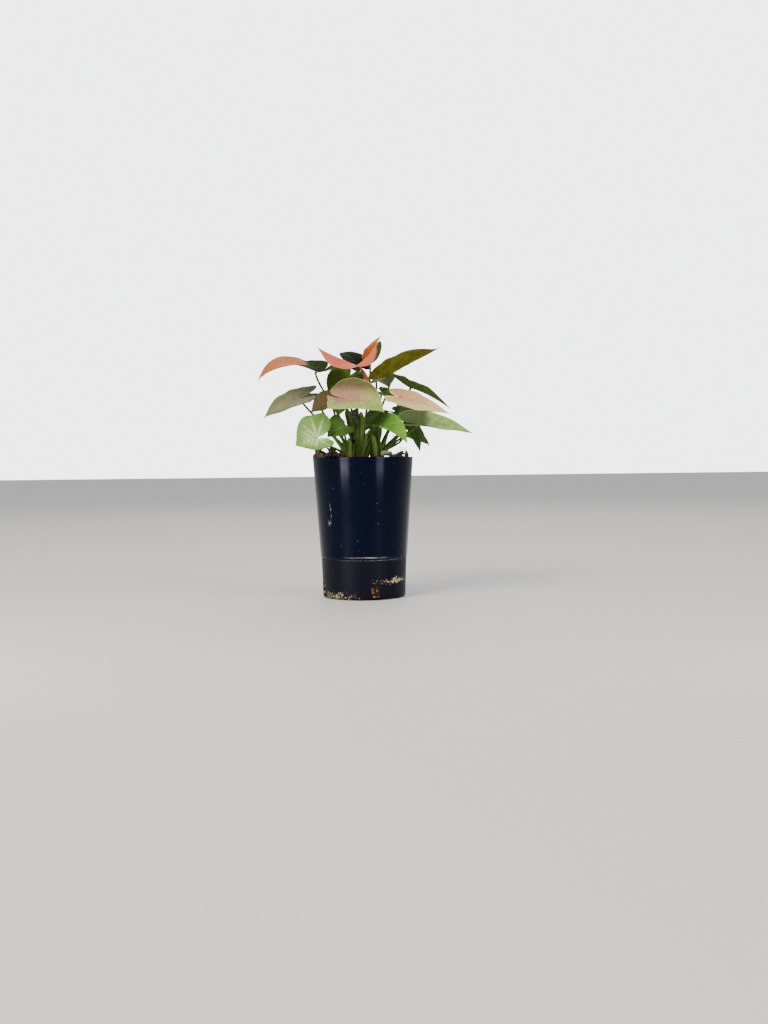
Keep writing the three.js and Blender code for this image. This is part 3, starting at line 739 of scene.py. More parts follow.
# Places in millimetres and angles in degrees: the shoot, where the stalk meets the blade, the
# tip, the way the upper side looks, the width, and how far the halves fold up at the stalk
# and at the tip. Then, where they aren't plain: lean folds the left half more, arch bends the
# midrib, hook turns the tip down, skew widens the left half, lobe scales the lobes behind the
# stalk, flare spreads them, lift turns them up and lobe_fold folds them. A name ending in
# _lean gives the left lobe more of it than the right one.
LEAVES = {
    # round the top
    "crown_pink": dict(shoot="centre", at=(-4, -8, 229), tip=(-45, -16, 248), up=(0, -0.6, 0.8),
        width=30, fold=-2, tip_fold=-75, lean=40, hook=-10, lobe=1.0, lobe_lean=-0.25, skew=0.15,
        flare=1, flare_lean=-0.35, lift=-22, lift_lean=-48, lobe_fold=40, lobe_fold_lean=-48),
    "spear": dict(shoot="centre", at=(6, 22, 239), tip=(20, 23, 263), up=(-0.7, -0.9, 0.3),
        width=15, fold=64, tip_fold=30, lean=-12, arch=8, lobe=0.3),
    "crown_dark": dict(shoot="back_left", at=(-4, 34, 234), tip=(-25, 68, 250), up=(-0.2, -0.1, 1),
        width=26, fold=10, arch=20, lobe=0.7),
    "crown_green": dict(shoot="back_right", at=(14, 46, 220), tip=(28, 92, 214), up=(0, 0.1, 1),
        width=36, fold=16, arch=14),
    "behind_blush": dict(shoot="back_left", at=(-12, 12, 222), tip=(-32, 0, 191),
        up=(-0.2, -0.8, 0.5), width=40, fold=12, arch=14, lobe=0.6),
    # left side
    "left_pink": dict(shoot="centre", at=(-46, 6, 225), tip=(-100, -36, 212), up=(0, -0.45, 1),
        width=42, fold=22, tip_fold=8, arch=14, hook=62, lobe=0.75, lift=60, lift_lean=10),
    "left_grey": dict(shoot="left", at=(-61, -4, 198), tip=(-97, -20, 178), up=(0, -0.53, 1),
        width=36, fold=10, arch=10, lobe=1.1, lobe_lean=-0.3, lift=5),
    "left_hidden": dict(shoot="back_left", at=(-48, 18, 200), tip=(-80, 36, 190), up=(0, 0.1, 1),
        width=30, fold=8, arch=12),
    "left_bronze": dict(shoot="left", at=(-30, -22, 195), tip=(-50, -28, 182), up=(0, -0.6, 0.6),
        width=26, fold=16, arch=12, lobe=0.9),
    # front
    "front_blush": dict(shoot="centre", at=(-17, -42, 195), tip=(22, -52, 180), up=(0, -0.75, 0.75),
        width=52, fold=18, arch=10, hook=60, lobe=1, lobe_lean=0.1, skew=-0.06, flare=-0.45,
        flare_lean=-1, lift=14, lift_lean=-14),
    "front_pale": dict(shoot="left", at=(-43, -50, 157), tip=(-63, -58, 150), up=(-0.45, -1, 0.25),
        width=48, fold=26, tip_fold=22, lean=8, arch=16, lobe=1.9, lobe_lean=-0.3, flare=0.12,
        flare_lean=-1, lift=5),
    "front_green": dict(shoot="left", at=(-17, -26, 170), tip=(-34, -34, 158), up=(-0.1, -0.9, 0.6),
        width=30, fold=14, arch=14, lobe=0.4),
    "front_right": dict(shoot="right", at=(16, -50, 168), tip=(44, -66, 150.5), up=(0.4, -0.7, 0.7),
        width=29, fold=28, arch=24, lobe=0.3, skew=0.25),
    "inner_green": dict(shoot="centre", at=(18, -24, 183), tip=(2, -28, 163), up=(-0.3, -0.9, 0.5),
        width=20, fold=12, arch=12, lobe=0.5),
    "inner_dark": dict(shoot="back_left", at=(-11, -10, 183), tip=(-9, -12, 157), up=(0.2, -1, 0.3),
        width=15, fold=24, arch=10, lobe=0.3),
    "inner_low": dict(shoot="right", at=(10, 4, 174), tip=(18, 2, 153), up=(0.2, -1, 0.3),
        width=15, fold=20, arch=10, lobe=0.3),
    # right side
    "right_olive": dict(shoot="centre", at=(28, 0, 220), tip=(79, 12, 249), up=(0, 0.3, 1),
        width=44, fold=30, tip_fold=24, arch=10, hook=-20, lobe=1, lift=15),
    "right_dark": dict(shoot="back_right", at=(49, 22, 209), tip=(92, 12, 184), up=(0, 0.1, 1),
        width=33, fold=24, arch=10, lobe=1.15, lift=15),
    "right_peach": dict(shoot="right", at=(38, -10, 198), tip=(87, -16, 180), up=(0, -0.42, 1),
        width=46, fold=4, tip_fold=0, arch=6, lobe=0.7, skew=-0.1),
    "right_pale": dict(shoot="right", at=(54, -38, 170), tip=(110, -22, 161), up=(0, -0.84, 1),
        width=38, fold=34, tip_fold=30, arch=6, lobe=0.9, skew=-0.2),
    "right_inner": dict(shoot="back_right", at=(20, 10, 204), tip=(38, 14, 192),
        up=(0.2, -0.5, 0.8), width=20, fold=10, arch=12, lobe=0.6),
    "low_right_dark": dict(shoot="right", at=(46, -14, 169), tip=(57, -20, 142),
        up=(0.5, -0.6, 0.5), width=16, fold=10, arch=12, lobe=0.6, skew=0.1),
    "low_right_olive": dict(shoot="back_right", at=(47.5, 0, 172), tip=(63.5, 2, 154),
        up=(0.3, -0.5, 0.6), width=14, fold=16, arch=16, lobe=0.6),
    # back
    "back_middle": dict(shoot="back_left", at=(-18, 48, 202), tip=(-28, 92, 184), up=(0, 0.3, 1),
        width=42, fold=14, arch=14),
    "back_right": dict(shoot="back_right", at=(36, 48, 186), tip=(66, 78, 172), up=(0, 0.2, 1),
        width=38, fold=12, arch=14),
    "back_low_left": dict(shoot="back_left", at=(-34, 36, 170), tip=(-62, 60, 156), up=(0, 0.2, 1),
        width=36, fold=14, arch=16),
    "back_low_right": dict(shoot="back_right", at=(40, 24, 160), tip=(70, 44, 150), up=(0, 0.2, 1),
        width=28, fold=14, arch=16, lobe=0.5),
}
BLADE = 0.4  # thickness in millimetres
RINGS = 16
SPAN_STEPS = 6  # points for each span of the outline
RIB_STEPS = 24
VEINS_AHEAD = 5.5  # side veins from the stalk to the tip
VEIN_FORWARD = 0.6  # how far a side vein runs forward for each millimetre across
VEIN_CURVE = 0.02
FAN_START = 61.0  # degrees from the midrib to the first vein of the lobes
FAN_STEP = 33.0
QUILT = 0.6  # how high a blade bulges between its veins
RIPPLE = 0.5  # how far its margin waves up and down


def rounded(points, steps):
    """A smooth line through the points."""
    p = np.array(points, float)
    p = np.vstack([2 * p[0] - p[1], p, 2 * p[-1] - p[-2]])
    out = []
    for a, b, c, d in zip(p, p[1:], p[2:], p[3:]):
        square = 2 * a - 5 * b + 4 * c - d
        cubic = -a + 3 * b - 3 * c + d
        for t in np.arange(steps) / steps:
            out.append(0.5 * (2 * b + (c - a) * t + square * t**2 + cubic * t**3))
    return np.array(out + [p[-2]])


def side_veins(x, y, spacing):
    """Distance in millimetres to the nearest side vein of a flat blade."""
    across = np.abs(y)
    along = x - VEIN_FORWARD * across - VEIN_CURVE * across**2
    fold_back = lambda value, half: np.abs((value + half) % (2 * half) - half)
    ahead = fold_back(along, spacing / 2)
    angle = np.degrees(np.arctan2(across, x)) - FAN_START
    behind = np.radians(fold_back(angle, FAN_STEP / 2)) * np.hypot(x, y)
    return np.where(along > 0, ahead, behind)


def flat_outline(leaf, length):
    """The margin of the flat blade, from the notch round the left side to the tip and back."""
    half = rounded(HALF_OUTLINE, SPAN_STEPS)
    sides = []
    for side in (1, -1):
        half_width = leaf["width"] / 2 * (1 + side * leaf.get("skew", 0))
        lobe = leaf.get("lobe", 1) * (1 + side * leaf.get("lobe_lean", 0)) * length
        flare = leaf.get("flare", 0) * (1 + side * leaf.get("flare_lean", 0))
        x = half[:, 0] * np.where(half[:, 0] < 0, lobe, length)
        spread = np.clip(-half[:, 0] / 0.25, 0, 1) * np.minimum(half[:, 1] * 1.4, 1) * flare
        y = half[:, 1] * half_width - np.minimum(x, 0) * spread
        sides.append(np.column_stack([x, side * y]))
    return np.vstack([sides[0][::-1], sides[1][1:]])


def blade_surface(leaf, seed):
    """Middle surface of a blade in millimetres.

    Gives its points and faces, each point's place on the flat blade with its share of the way
    out to the margin, the blade's length and the number of points round its margin.
    """
    at, tip = np.array(leaf["at"], float), np.array(leaf["tip"], float)
    arch, hook = math.radians(leaf.get("arch", 0)), math.radians(leaf.get("hook", 0))
    t = (np.arange(RIB_STEPS) + 0.5) / RIB_STEPS
    slope = arch * (1 - 2 * t) - hook * t**3
    rib_x = np.concatenate([[0], np.cumsum(np.cos(slope))]) / RIB_STEPS
    rib_z = np.concatenate([[0], np.cumsum(np.sin(slope))]) / RIB_STEPS
    length = np.linalg.norm(tip - at) / math.hypot(rib_x[-1], rib_z[-1])
    turned = math.atan2(rib_z[-1], rib_x[-1])

    outline = flat_outline(leaf, length)
    count = len(outline)
    shares = np.arange(1, RINGS + 1) / RINGS
    flat = np.vstack([[[0, 0]]] + [outline * share for share in shares])
    rho = np.concatenate([[0], np.repeat(shares, count)])
    x, y = flat.T
    left = np.sign(y)

    own = np.random.default_rng(seed)
    spacing = length / VEINS_AHEAD
    between = np.clip(side_veins(x, y, spacing) / (spacing / 2), 0, 1)
    inside = np.clip(np.abs(y) / (0.1 * leaf["width"]), 0, 1) * (1 - rho**4)
    relief = leaf.get("quilt", QUILT) * (np.sin(between * np.pi / 2) - 0.4) * inside
    angle = np.arctan2(y, x)
    phase = own.uniform(0, 6.28, 3)
    ripple = np.sin(5 * angle + phase[0]) + 0.6 * np.sin(9 * angle + phase[1])
    relief += RIPPLE * ripple * rho**3 * np.clip(np.abs(angle) * 2, 0, 1)

    share = np.clip(x / length, 0, 1)
    tip_fold = leaf.get("tip_fold", leaf["fold"])
    fold = tip_fold + (leaf["fold"] - tip_fold) * (1 - share) ** 2 + left * leaf.get("lean", 0)
    back = np.maximum(-x, 0)
    behind = back / (back + 0.12 * length)  # 0 at the stalk, towards 1 in the lobes
    fold += behind * (leaf.get("lobe_fold", 0) + left * leaf.get("lobe_fold_lean", 0))
    fold = np.radians(fold)
    crease = 0.03 * length
    rise = (np.hypot(y, crease) - crease) * np.sin(fold) + relief
    phi = arch * (1 - 2 * share) - hook * share**3
    rib_share = np.linspace(0, 1, RIB_STEPS + 1)
    along = np.interp(share, rib_share, rib_x) * length
    above = np.interp(share, rib_share, rib_z) * length
    lift = np.radians(leaf.get("lift", 0) + left * leaf.get("lift_lean", 0))
    phi = np.where(back > 0, arch - lift * behind, phi)
    along = np.where(back > 0, x * np.cos(phi), along) - rise * np.sin(phi)
    above = np.where(back > 0, x * np.sin(phi), above) + rise * np.cos(phi)
    cosine, sine = math.cos(turned), math.sin(turned)
    along, above = along * cosine + above * sine, above * cosine - along * sine

    forward = (tip - at) / np.linalg.norm(tip - at)
    up = np.array(leaf["up"], float)
    up -= up @ forward * forward
    up /= np.linalg.norm(up)
    leftward = np.cross(up, forward)
    points = at + np.outer(along, forward) + np.outer(y * np.cos(fold), leftward)
    points += np.outer(above, up)
    faces = [(0, j + 1, j) for j in range(1, count)]
    for ring in range(RINGS - 1):
        inner, outer = 1 + ring * count, 1 + (ring + 1) * count
        faces += [(inner + j, inner + j + 1, outer + j + 1, outer + j) for j in range(count - 1)]
    return points, faces, np.column_stack([x, y, rho]), length, count


def point_normals(points, faces):
    """The way out of a surface at each of its points."""
    mesh = bpy.data.meshes.new("normals")
    mesh.from_pydata([tuple(p) for p in points], [], faces)
    normals = np.array([v.vector for v in mesh.vertex_normals])
    bpy.data.meshes.remove(mesh)
    return normals


def second_side(faces, rim, count):
    """Faces of a thin sheet's second side and of its edge, for points that follow the first's."""
    under = [tuple(count + i for i in face[::-1]) for face in faces]
    edge = [(a, b, count + b, count + a) for a, b in zip(rim, rim[1:] + rim[:1])]
    return under + edge


def leaf_object(node, leaf, seed, upper, lower):
    """A blade with its upper side in one material and its underside and edge in another."""
    points, faces, flat, length, count = blade_surface(leaf, seed)
    normals = point_normals(points, faces)
    thick = BLADE / 2 * (1 - 0.55 * flat[:, 2:] ** 6)
    both = np.vstack([points + normals * thick, points - normals * thick]) * MM
    left_ray = [0] + [1 + ring * count for ring in range(RINGS)]
    right_ray = [0] + [(ring + 1) * count for ring in range(RINGS)]
    margin = [1 + (RINGS - 1) * count + j for j in range(count)]
    rim = left_ray + margin[1:] + right_ray[::-1][1:-1]
    more_faces = second_side(faces, rim, len(points))
    made = mesh_object(node, both, faces + more_faces, [upper, lower])
    indices = [0] * len(faces) + [1] * len(more_faces)
    made.data.polygons.foreach_set("material_index", indices)
    place = made.data.attributes.new("blade", "FLOAT_VECTOR", "POINT")
    place.data.foreach_set("vector", np.vstack([flat, flat]).astype(np.float32).ravel())
    sharpen(made.data, 50)
    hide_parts(node)
    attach(made, "root")
    return made


# Light goes a millimetre or two into the living flesh and comes back out warmer.
FLESH = {"Subsurface_Radius": (1.0, 0.6, 0.25), "Subsurface_Scale": 1.5 * MM}
# Sizes of patterns in millimetres, matched one by one. They lie on the flat blade, whose places are
# millimetres too, so a pattern's scale is one over its size.
NET_MESH = 1.818  # of the finest veins, drawn as coarse as they need to show
BLOTCH = 4.545
CLOUD = 11.11
UNDER_PATCH = 8.333
STALK_SPOT = -0.3  # where the midrib and the side veins meet, just behind the stalk


def blade_places(tree, shift, length):
    """Where a point lies on its flat blade.

    Gives how far along and aside it is, its share of the way out to the margin, its distance
    from the midrib, the stalk and the nearest side vein, and its place in the patterns, which
    are shifted so that no two blades match.
    """
    place = add(tree, "Attribute", attribute_name="blade", out="Vector")
    x, y, rho = add(tree, "SeparateXYZ", place).node.outputs
    across = add(tree, "Math", y, operation="ABSOLUTE")
    bent = add(tree, "Math", across, VEIN_CURVE, VEIN_FORWARD, operation="MULTIPLY_ADD")
    forward = overlap(tree, across, bent)
    along = add(tree, "Math", x, forward, operation="SUBTRACT")
    ahead = add(tree, "Math", along, operation="ABSOLUTE")
    ahead = add(tree, "Math", ahead, length / VEINS_AHEAD / 2, operation="PINGPONG")
    angle = add(tree, "Math", across, x, operation="ARCTAN2")
    angle = add(tree, "Math", angle, operation="DEGREES")
    angle = add(tree, "Math", angle, FAN_START, operation="SUBTRACT")
    angle = add(tree, "Math", angle, operation="ABSOLUTE")
    angle = add(tree, "Math", angle, FAN_STEP / 2, operation="PINGPONG")
    angle = add(tree, "Math", angle, operation="RADIANS")
    from_stalk = add(tree, "CombineXYZ", x, across)
    from_stalk = add(tree, "VectorMath", from_stalk, operation="LENGTH")
    behind = overlap(tree, angle, from_stalk)
    is_ahead = add(tree, "Math", along, 0, operation="GREATER_THAN")
    side = add(tree, "Mix", is_ahead, behind, ahead, data_type="FLOAT")
    moved = add(tree, "VectorMath", place, shift)
    return x, y, rho, across, from_stalk, side, moved


def leaf_skin(name, length, width, look, seed):
    """Upper side of a blade, coloured from the midrib out to the margin.

    Grown skin under a thin wax: a soft sheen that breaks up with the blotches, and fine dents
    along the veins that catch the light.
    """
    made, tree, surface = material(
        name, Specular_IOR_Level=look["gloss"], Subsurface_Weight=0.12, **FLESH
    )
    shift = (seed * 17.0, seed * 5.0, 0)
    x, y, rho, across, from_stalk, side, moved = blade_places(tree, shift, length)
    side_width = add(tree, "MapRange", rho, 0, 1, 0.55, 0.18, **SMOOTH)
    side_line = add(tree, "Math", side, side_width, operation="DIVIDE")
    side_line = add(tree, "MapRange", side_line, 0.35, 1.6, 1, 0, **SMOOTH)
    mid_width = add(tree, "MapRange", x, 0, length, 0.75, 0.2, **SMOOTH)
    mid_line = add(tree, "Math", across, mid_width, operation="DIVIDE")
    mid_line = add(tree, "MapRange", mid_line, 0.5, 1.5, 1, 0, **SMOOTH)
    is_ahead = add(tree, "Math", x, STALK_SPOT, operation="GREATER_THAN")
    mid_line = overlap(tree, mid_line, is_ahead)
    net = add(tree, "TexVoronoi", moved, Scale=1 / NET_MESH, feature="DISTANCE_TO_EDGE")
    net = add(tree, "MapRange", net, 0, 0.12, 1, 0, **SMOOTH)
    cloudy = add(tree, "TexNoise", moved, 1 / CLOUD, 4, 0.6)
    blotchy = add(tree, "TexNoise", moved, 1 / BLOTCH, 5, 0.65)

    margin = uneven(tree, rho, cloudy, 0.9)
    for axis, tilt, size in zip((x, y), look["tilt"], (length, width / 2)):
        margin = add(tree, "Math", axis, tilt / size, margin, operation="MULTIPLY_ADD")
    spread = add(tree, "MapRange", margin, *look["change"], **SMOOTH)
    amount = look["spots"]
    spots = (0.6 - 0.35 * amount, 0.78 - 0.2 * amount, 0, min(1, 1.6 * amount))
    spots = add(tree, "MapRange", blotchy, *spots, **SMOOTH)
    # Painted shade halfway between two veins, in the blotch colour, where the blade bulges up
    # between them.
    half_way = length / VEINS_AHEAD / 2
    between = (0.3 * half_way, half_way, 0, look["between"])
    between = add(tree, "MapRange", side, *between, **SMOOTH)
    rib = overlap(tree, mid_line, min(1, 1.5 * look["veins"]))
    near_stalk = add(tree, "MapRange", from_stalk, 0.6, 2.8, 0.6, 0, **SMOOTH)
    coats = [
        (spread, look["edge"]),
        (spots, look["spot"]),
        (between, look["spot"]),
        (overlap(tree, net, 0.12), look["vein"]),
        (overlap(tree, side_line, look["veins"]), look["vein"]),
        (rib, look["vein"]),
        (near_stalk, "#6e4a34"),
    ]
    # On right_pale this colour is a painted shadow, the one that right_peach casts on its lobes.
    if look["lobes"]:
        lobe_colour, start, soft = look["lobes"]
        wander = uneven(tree, x, cloudy, 12)
        lobes = add(tree, "MapRange", wander, -start - soft, soft - start, 1, 0, **SMOOTH)
        coats.append((lobes, lobe_colour))
    # Painted shade over the left half, where the blade curves away from the light.
    if look["left_half"]:
        left = add(tree, "MapRange", y, 0.1 * width, 0.35 * width, 0, 0.85, **SMOOTH)
        coats.append((left, look["left_half"]))
    rim = add(tree, "MapRange", rho, 0.965, 1, 0, 0.7, **SMOOTH)
    coats.append((rim, look["rim"]))
    put(surface["Base Color"], painted(tree, look["centre"], *coats))
    put(surface["Roughness"], add(tree, "MapRange", blotchy, 0.3, 0.7, 0.45, 0.58, **SMOOTH))
    dent = add(tree, "Math", side_line, mid_line, operation="MAXIMUM")
    dent = add(tree, "Math", net, 0.25, dent, operation="MULTIPLY_ADD")
    dent = add(tree, "Math", 1, dent, operation="SUBTRACT")
    put(surface["Normal"], add(tree, "Bump", Height=dent, Distance=0.5 * MM, Strength=0.7))
    return made


def leaf_back(name, length, colours, seed):
    """Underside of a blade.

    Grown skin without wax: duller and paler than the upper side, with the veins standing out.
    The darkest colours given for it also hold painted shade.
    """
    made, tree, surface = material(
        name, Roughness=0.6, Specular_IOR_Level=0.12, Subsurface_Weight=0.1, **FLESH
    )
    shift = (seed * 13.0, seed * 7.0, 0)
    x, y, rho, across, from_stalk, side, moved = blade_places(tree, shift, length)
    side_line = add(tree, "MapRange", side, 0.2, 0.7, 1, 0, **SMOOTH)
    mid_line = add(tree, "MapRange", across, 0.4, 1.1, 1, 0, **SMOOTH)
    is_ahead = add(tree, "Math", x, STALK_SPOT, operation="GREATER_THAN")
    mid_line = overlap(tree, mid_line, is_ahead)
    main, patch, vein = colours
    patches = add(tree, "TexNoise", moved, 1 / UNDER_PATCH, 4, 0.6)
    patches = add(tree, "MapRange", patches, 0.4, 0.65, **SMOOTH)
    faint = overlap(tree, side_line, 0.35)
    lines = overlap(tree, add(tree, "Math", faint, mid_line, operation="MAXIMUM"), 0.6)
    put(surface["Base Color"], painted(tree, main, (patches, patch), (lines, vein)))
    raised = add(tree, "Math", side_line, mid_line, operation="MAXIMUM")
    put(surface["Normal"], add(tree, "Bump", Height=raised, Distance=0.6 * MM, Strength=0.6))
    return made


# Colours of each upper side: at the centre, towards the edge, of the veins and of blotches.
# Then the share of blotches, the colour of the rim, the strength of the veins, and where
# between the stalk and the margin the change from centre to edge lies. By name: under is the
# underside's main colour, its patches and its veins. Lobes is another colour, how many
# millimetres behind the stalk it sets in and how softly. The colour for the left half is painted
# shade laid over that half, where the blade curves away from the light. Tilt brings the edge
# colour further in towards the tip and on the left half. Gloss is the strength of the sheen,
# and between is how much painted shade, in the blotch colour, lies halfway between two veins,
# where the blade bulges up.
GREEN_UNDER = ("#3c5014", "#4f6422", "#748640")
# A deep green of their own, darkened further to paint in the shade under the blades.
DARK_UNDER = ("#1d2c02", "#2c3f06", "#4c6222")
OLIVE_UNDER = ("#565400", "#686c18", "#7d8034")
PLAIN = {
    "under": GREEN_UNDER,
    "lobes": None,
    "left_half": None,
    "tilt": (0, 0),
    "gloss": 0.2,
    # A little painted shade between the veins of every blade.
    "between": 0.15,
}


def look(centre, edge, vein, spot, spots=0.2, rim=None, veins=0.45, change=(0.35, 1.0), **more):
    own = {"centre": centre, "edge": edge, "vein": vein, "spot": spot, "spots": spots}
    return PLAIN | own | {"rim": rim or edge, "veins": veins, "change": change} | more


LOOKS = {
    "crown_pink": look("#dc6250", "#d67256", "#ea9480", "#b8784c", 0.25, "#a9785a", 0.4,
                       under=("#c07050", "#96703c", "#b8946a"), lobes=("#2f4210", 16, 2),
                       gloss=0.12),
    "spear": look("#b84c18", "#b8863c", "#c8a858", "#a8481c", 0.3, "#b8a848", 0.2, (0.45, 1.0),
                  under=("#b05c24", "#b8903c", "#c9a058"), tilt=(0, -0.3), gloss=0.1),
    # Near-black greens: painted shade, for the shade it sits in behind the crown's front leaves.
    "crown_dark": look("#101803", "#161c04", "#2a3012", "#3c2c1c", 0.2, "#7c5a50", 0.25,
                       under=DARK_UNDER, gloss=0.02),
    "crown_green": look("#4a6420", "#42591a", "#7c9448", "#5f7a30", 0.3),
    "behind_blush": look("#3e540a", "#344a06", "#587024", "#4a6414", 0.3, under=DARK_UNDER,
                         gloss=0.1),
    # Its underside colours are darkened to paint in the shade under the blade.
    "left_pink": look("#d87048", "#bc6c3c", "#dc8c60", "#94662c", 0.35, "#7f7030", 0.4,
                      under=("#203002", "#32450a", "#5c6630"), lobes=("#223404", -7, 4),
                      tilt=(0.25, 0), gloss=0.08),
    "left_grey": look("#98886a", "#687c48", "#a9a87c", "#62703c", 0.4, "#465424", 0.35,
                      under=("#4c5a2a", "#5c6636", "#7c8456")),
    "left_hidden": look("#4a6420", "#42591a", "#7c9448", "#5f7a30", 0.3),
    "left_bronze": look("#64482c", "#4c4620", "#7c6240", "#40481a", 0.45, "#3c4a14", 0.3),
    # Its left half carries painted shade, where the blade curves away from the light.
    "front_blush": look("#b0846a", "#a4c058", "#c4ac90", "#7c7050", 0.4, "#c0d470", 0.25,
                        (0.5, 1.1), left_half="#484a20", tilt=(0.4, -0.35), gloss=0.15),
    # Much painted shade between its veins, for the dark arcs where its blade bulges.
    "front_pale": look("#d4f0a4", "#5c9024", "#d8e8b0", "#6c9a40", 0.3, "#487418", 0.4,
                       (0.3, 1.0), between=0.75),
    "front_green": look("#44701e", "#36580f", "#6a9044", "#5a8034", 0.3),
    "front_right": look("#4c7c1c", "#6ea430", "#86ac4c", "#447416", 0.35, "#5c8c24", 0.25,
                        (0.55, 1.15), lobes=("#34520a", -2, 7), tilt=(0.7, -0.3)),
    "right_olive": look("#5c6a14", "#4f5c0c", "#7c8a3a", "#847830", 0.3, under=OLIVE_UNDER),
    "right_dark": look("#4a6612", "#3c5408", "#64803a", "#567220", 0.25,
                       under=("#4a5c1c", "#566a26", "#7c8c50")),
    "right_peach": look("#ecb484", "#ecd88c", "#dc8c6c", "#d0b078", 0.25, "#b8c070", 0.5,
                        (0.4, 1.0), under=("#848a4c", "#94945c", "#acac78"), tilt=(0.25, -0.15),
                        gloss=0.15),
    # Its lobes are darkened by a painted shadow, the one that right_peach casts on them.
    "right_pale": look("#80925a", "#98c05c", "#b4c888", "#6c8048", 0.4, "#8cb850", 0.4,
                       tilt=(0.35, 0), lobes=("#48582c", -10, 6), between=0.3),
    "inner_green": look("#2c4a08", "#264004", "#4c6c22", "#3c5c14", 0.2, under=DARK_UNDER),
    "inner_dark": look("#233a06", "#1c2e04", "#46601c", "#4a3a14", 0.35, under=DARK_UNDER),
    "inner_low": look("#40641a", "#385a12", "#64863a", "#2c4404", 0.25, under=DARK_UNDER),
    "right_inner": look("#3a5e14", "#4a701c", "#6c8c3c", "#2c4a10", 0.3, under=DARK_UNDER),
    "low_right_dark": look("#264404", "#305608", "#4a6c22", "#1c3804", 0.2, under=DARK_UNDER),
    "low_right_olive": look("#4c500c", "#3e500c", "#6c7424", "#344408", 0.3, under=OLIVE_UNDER),
    "back_middle": look("#a88a68", "#84a04c", "#b9b080", "#7c8e4a", 0.35, "#84a648", 0.35),
    "back_right": look("#b0866a", "#9aac5c", "#c2b080", "#868a50", 0.3, "#90ac50", 0.35),
    "back_low_left": look("#78983a", "#64862c", "#9cb06a", "#88a44c", 0.25),
    "back_low_right": look("#64862c", "#527420", "#8ca658", "#7c9842", 0.3),
}

stalk_ends = {}
for seed, (name, leaf) in enumerate(LEAVES.items()):
    points, faces, flat, length, count = blade_surface(leaf, seed)
    normal = point_normals(points, faces)[0]
    stalk_ends[name] = (points[0] - normal * BLADE / 2, normal)
    skin = leaf_skin("waxy_blade_" + name, length, leaf["width"], LOOKS[name], seed)
    back = leaf_back("matt_underside_" + name, length, LOOKS[name]["under"], seed)
    blade = leaf_object("leaf_" + name, leaf, seed, skin, back)


# ------------------------------------------------------------------ shoots
# Slender round stalks, grooved where they clasp the stem and tinged brown near the blade, and
# a stem wrapped in pale green sheaths that dries to brown at its foot. Each shoot is one
# object of living tissue, grown in one piece.
# Millimetres, as in the list of leaves.
STALK_STEPS = 36
STALK_LENGTH = 66  # of a middling one, measured straight
STALK_RADIUS = 1.0
STALK_FOOT = 138.0  # height at which it leaves the stem
STALK_CLASP = 1.6  # how far from the stem's middle that is
STALK_SUNK = 6
STEM_FOOT = 110  # inside the compost
STEM_RADIUS = 4.4
SHEATH_RADIUS = 3.4
SHEATH_TOPS = {"centre": 184, "left": 158, "right": 156, "back_left": 152, "back_right": 152}

# Smooth skin over watery flesh: a low sheen, and thin streaks along the stalk. Places on it
# are the share of its length and, across it, radii. On a middling stalk a streak is 16.5 mm
# long and 0.2 mm wide, and finer on one axis, which mottles it.
green_skin, tree, surface = material(
    "fleshy_green_stalk",
    Roughness=0.45, Specular_IOR_Level=0.15, Subsurface_Weight=0.1,
    Subsurface_Radius=(1.0, 0.8, 0.3), Subsurface_Scale=2 * MM,
)
place = add(tree, "Attribute", attribute_name="stalk", out="Vector")
share = add(tree, "SeparateXYZ", place)
streak = (STALK_LENGTH / 16.5, STALK_RADIUS / 0.2, STALK_RADIUS / 0.03226)
lines = add(tree, "Mapping", place, Scale=streak)
streaky = add(tree, "TexNoise", lines, 1, 3, 0.6)
coats = [
    (add(tree, "MapRange", share, 0, 0.45, **SMOOTH), "#38560f"),
    (add(tree, "MapRange", share, 0.6, 1, 0, 0.5, **SMOOTH), "#3c3a14"),
    (add(tree, "MapRange", streaky, 0.45, 0.7, 0, 0.4, **SMOOTH), "#6e8438"),
]
put(surface["Base Color"], painted(tree, "#6e983a", *coats))
put(surface["Normal"], add(tree, "Bump", Height=streaky, Distance=0.3 * MM, Strength=0.5))


def sheath_skin(name, foot, middle, top, streak):
    """Skin of a sheathed stem, coloured from its foot in the compost up to its top.

    Grown in ribs and drying from the foot: dull, with upright streaks 17 mm long. They are
    drawn 1.1 mm wide, because finer ones wouldn't show.
    """
    made, tree, surface = material(name, Roughness=0.5, Specular_IOR_Level=0.15)
    place = add(tree, "TexCoord", out="Object")
    height = add(tree, "SeparateXYZ", place, out="Z")
    height = add(tree, "Math", height, 1 / MM, operation="MULTIPLY")
    lines = add(tree, "Mapping", place, Scale=(per(1.111), per(1.111), per(16.67)))
    streaky = add(tree, "TexNoise", lines, 1, 3, 0.6)
    wander = add(tree, "Math", streaky, 8, height, operation="MULTIPLY_ADD")
    coats = [
        (add(tree, "MapRange", wander, 142, 148, **SMOOTH), middle),
        (add(tree, "MapRange", wander, 166, 186, **SMOOTH), top),
        (add(tree, "MapRange", streaky, 0.5, 0.7, 0, 0.7, **SMOOTH), streak),
    ]
    put(surface["Base Color"], painted(tree, foot, *coats))
    put(surface["Normal"], add(tree, "Bump", Height=streaky, Distance=0.4 * MM, Strength=0.5))
    return made


green_sheath = sheath_skin("fleshy_green_leaf_sheath", "#8c5c34", "#7ca048", "#70963c", "#8c8850")
brown_sheath = sheath_skin("dried_brown_leaf_sheath", "#4c2c10", "#4a2c12", "#5c7a34", "#24160a")


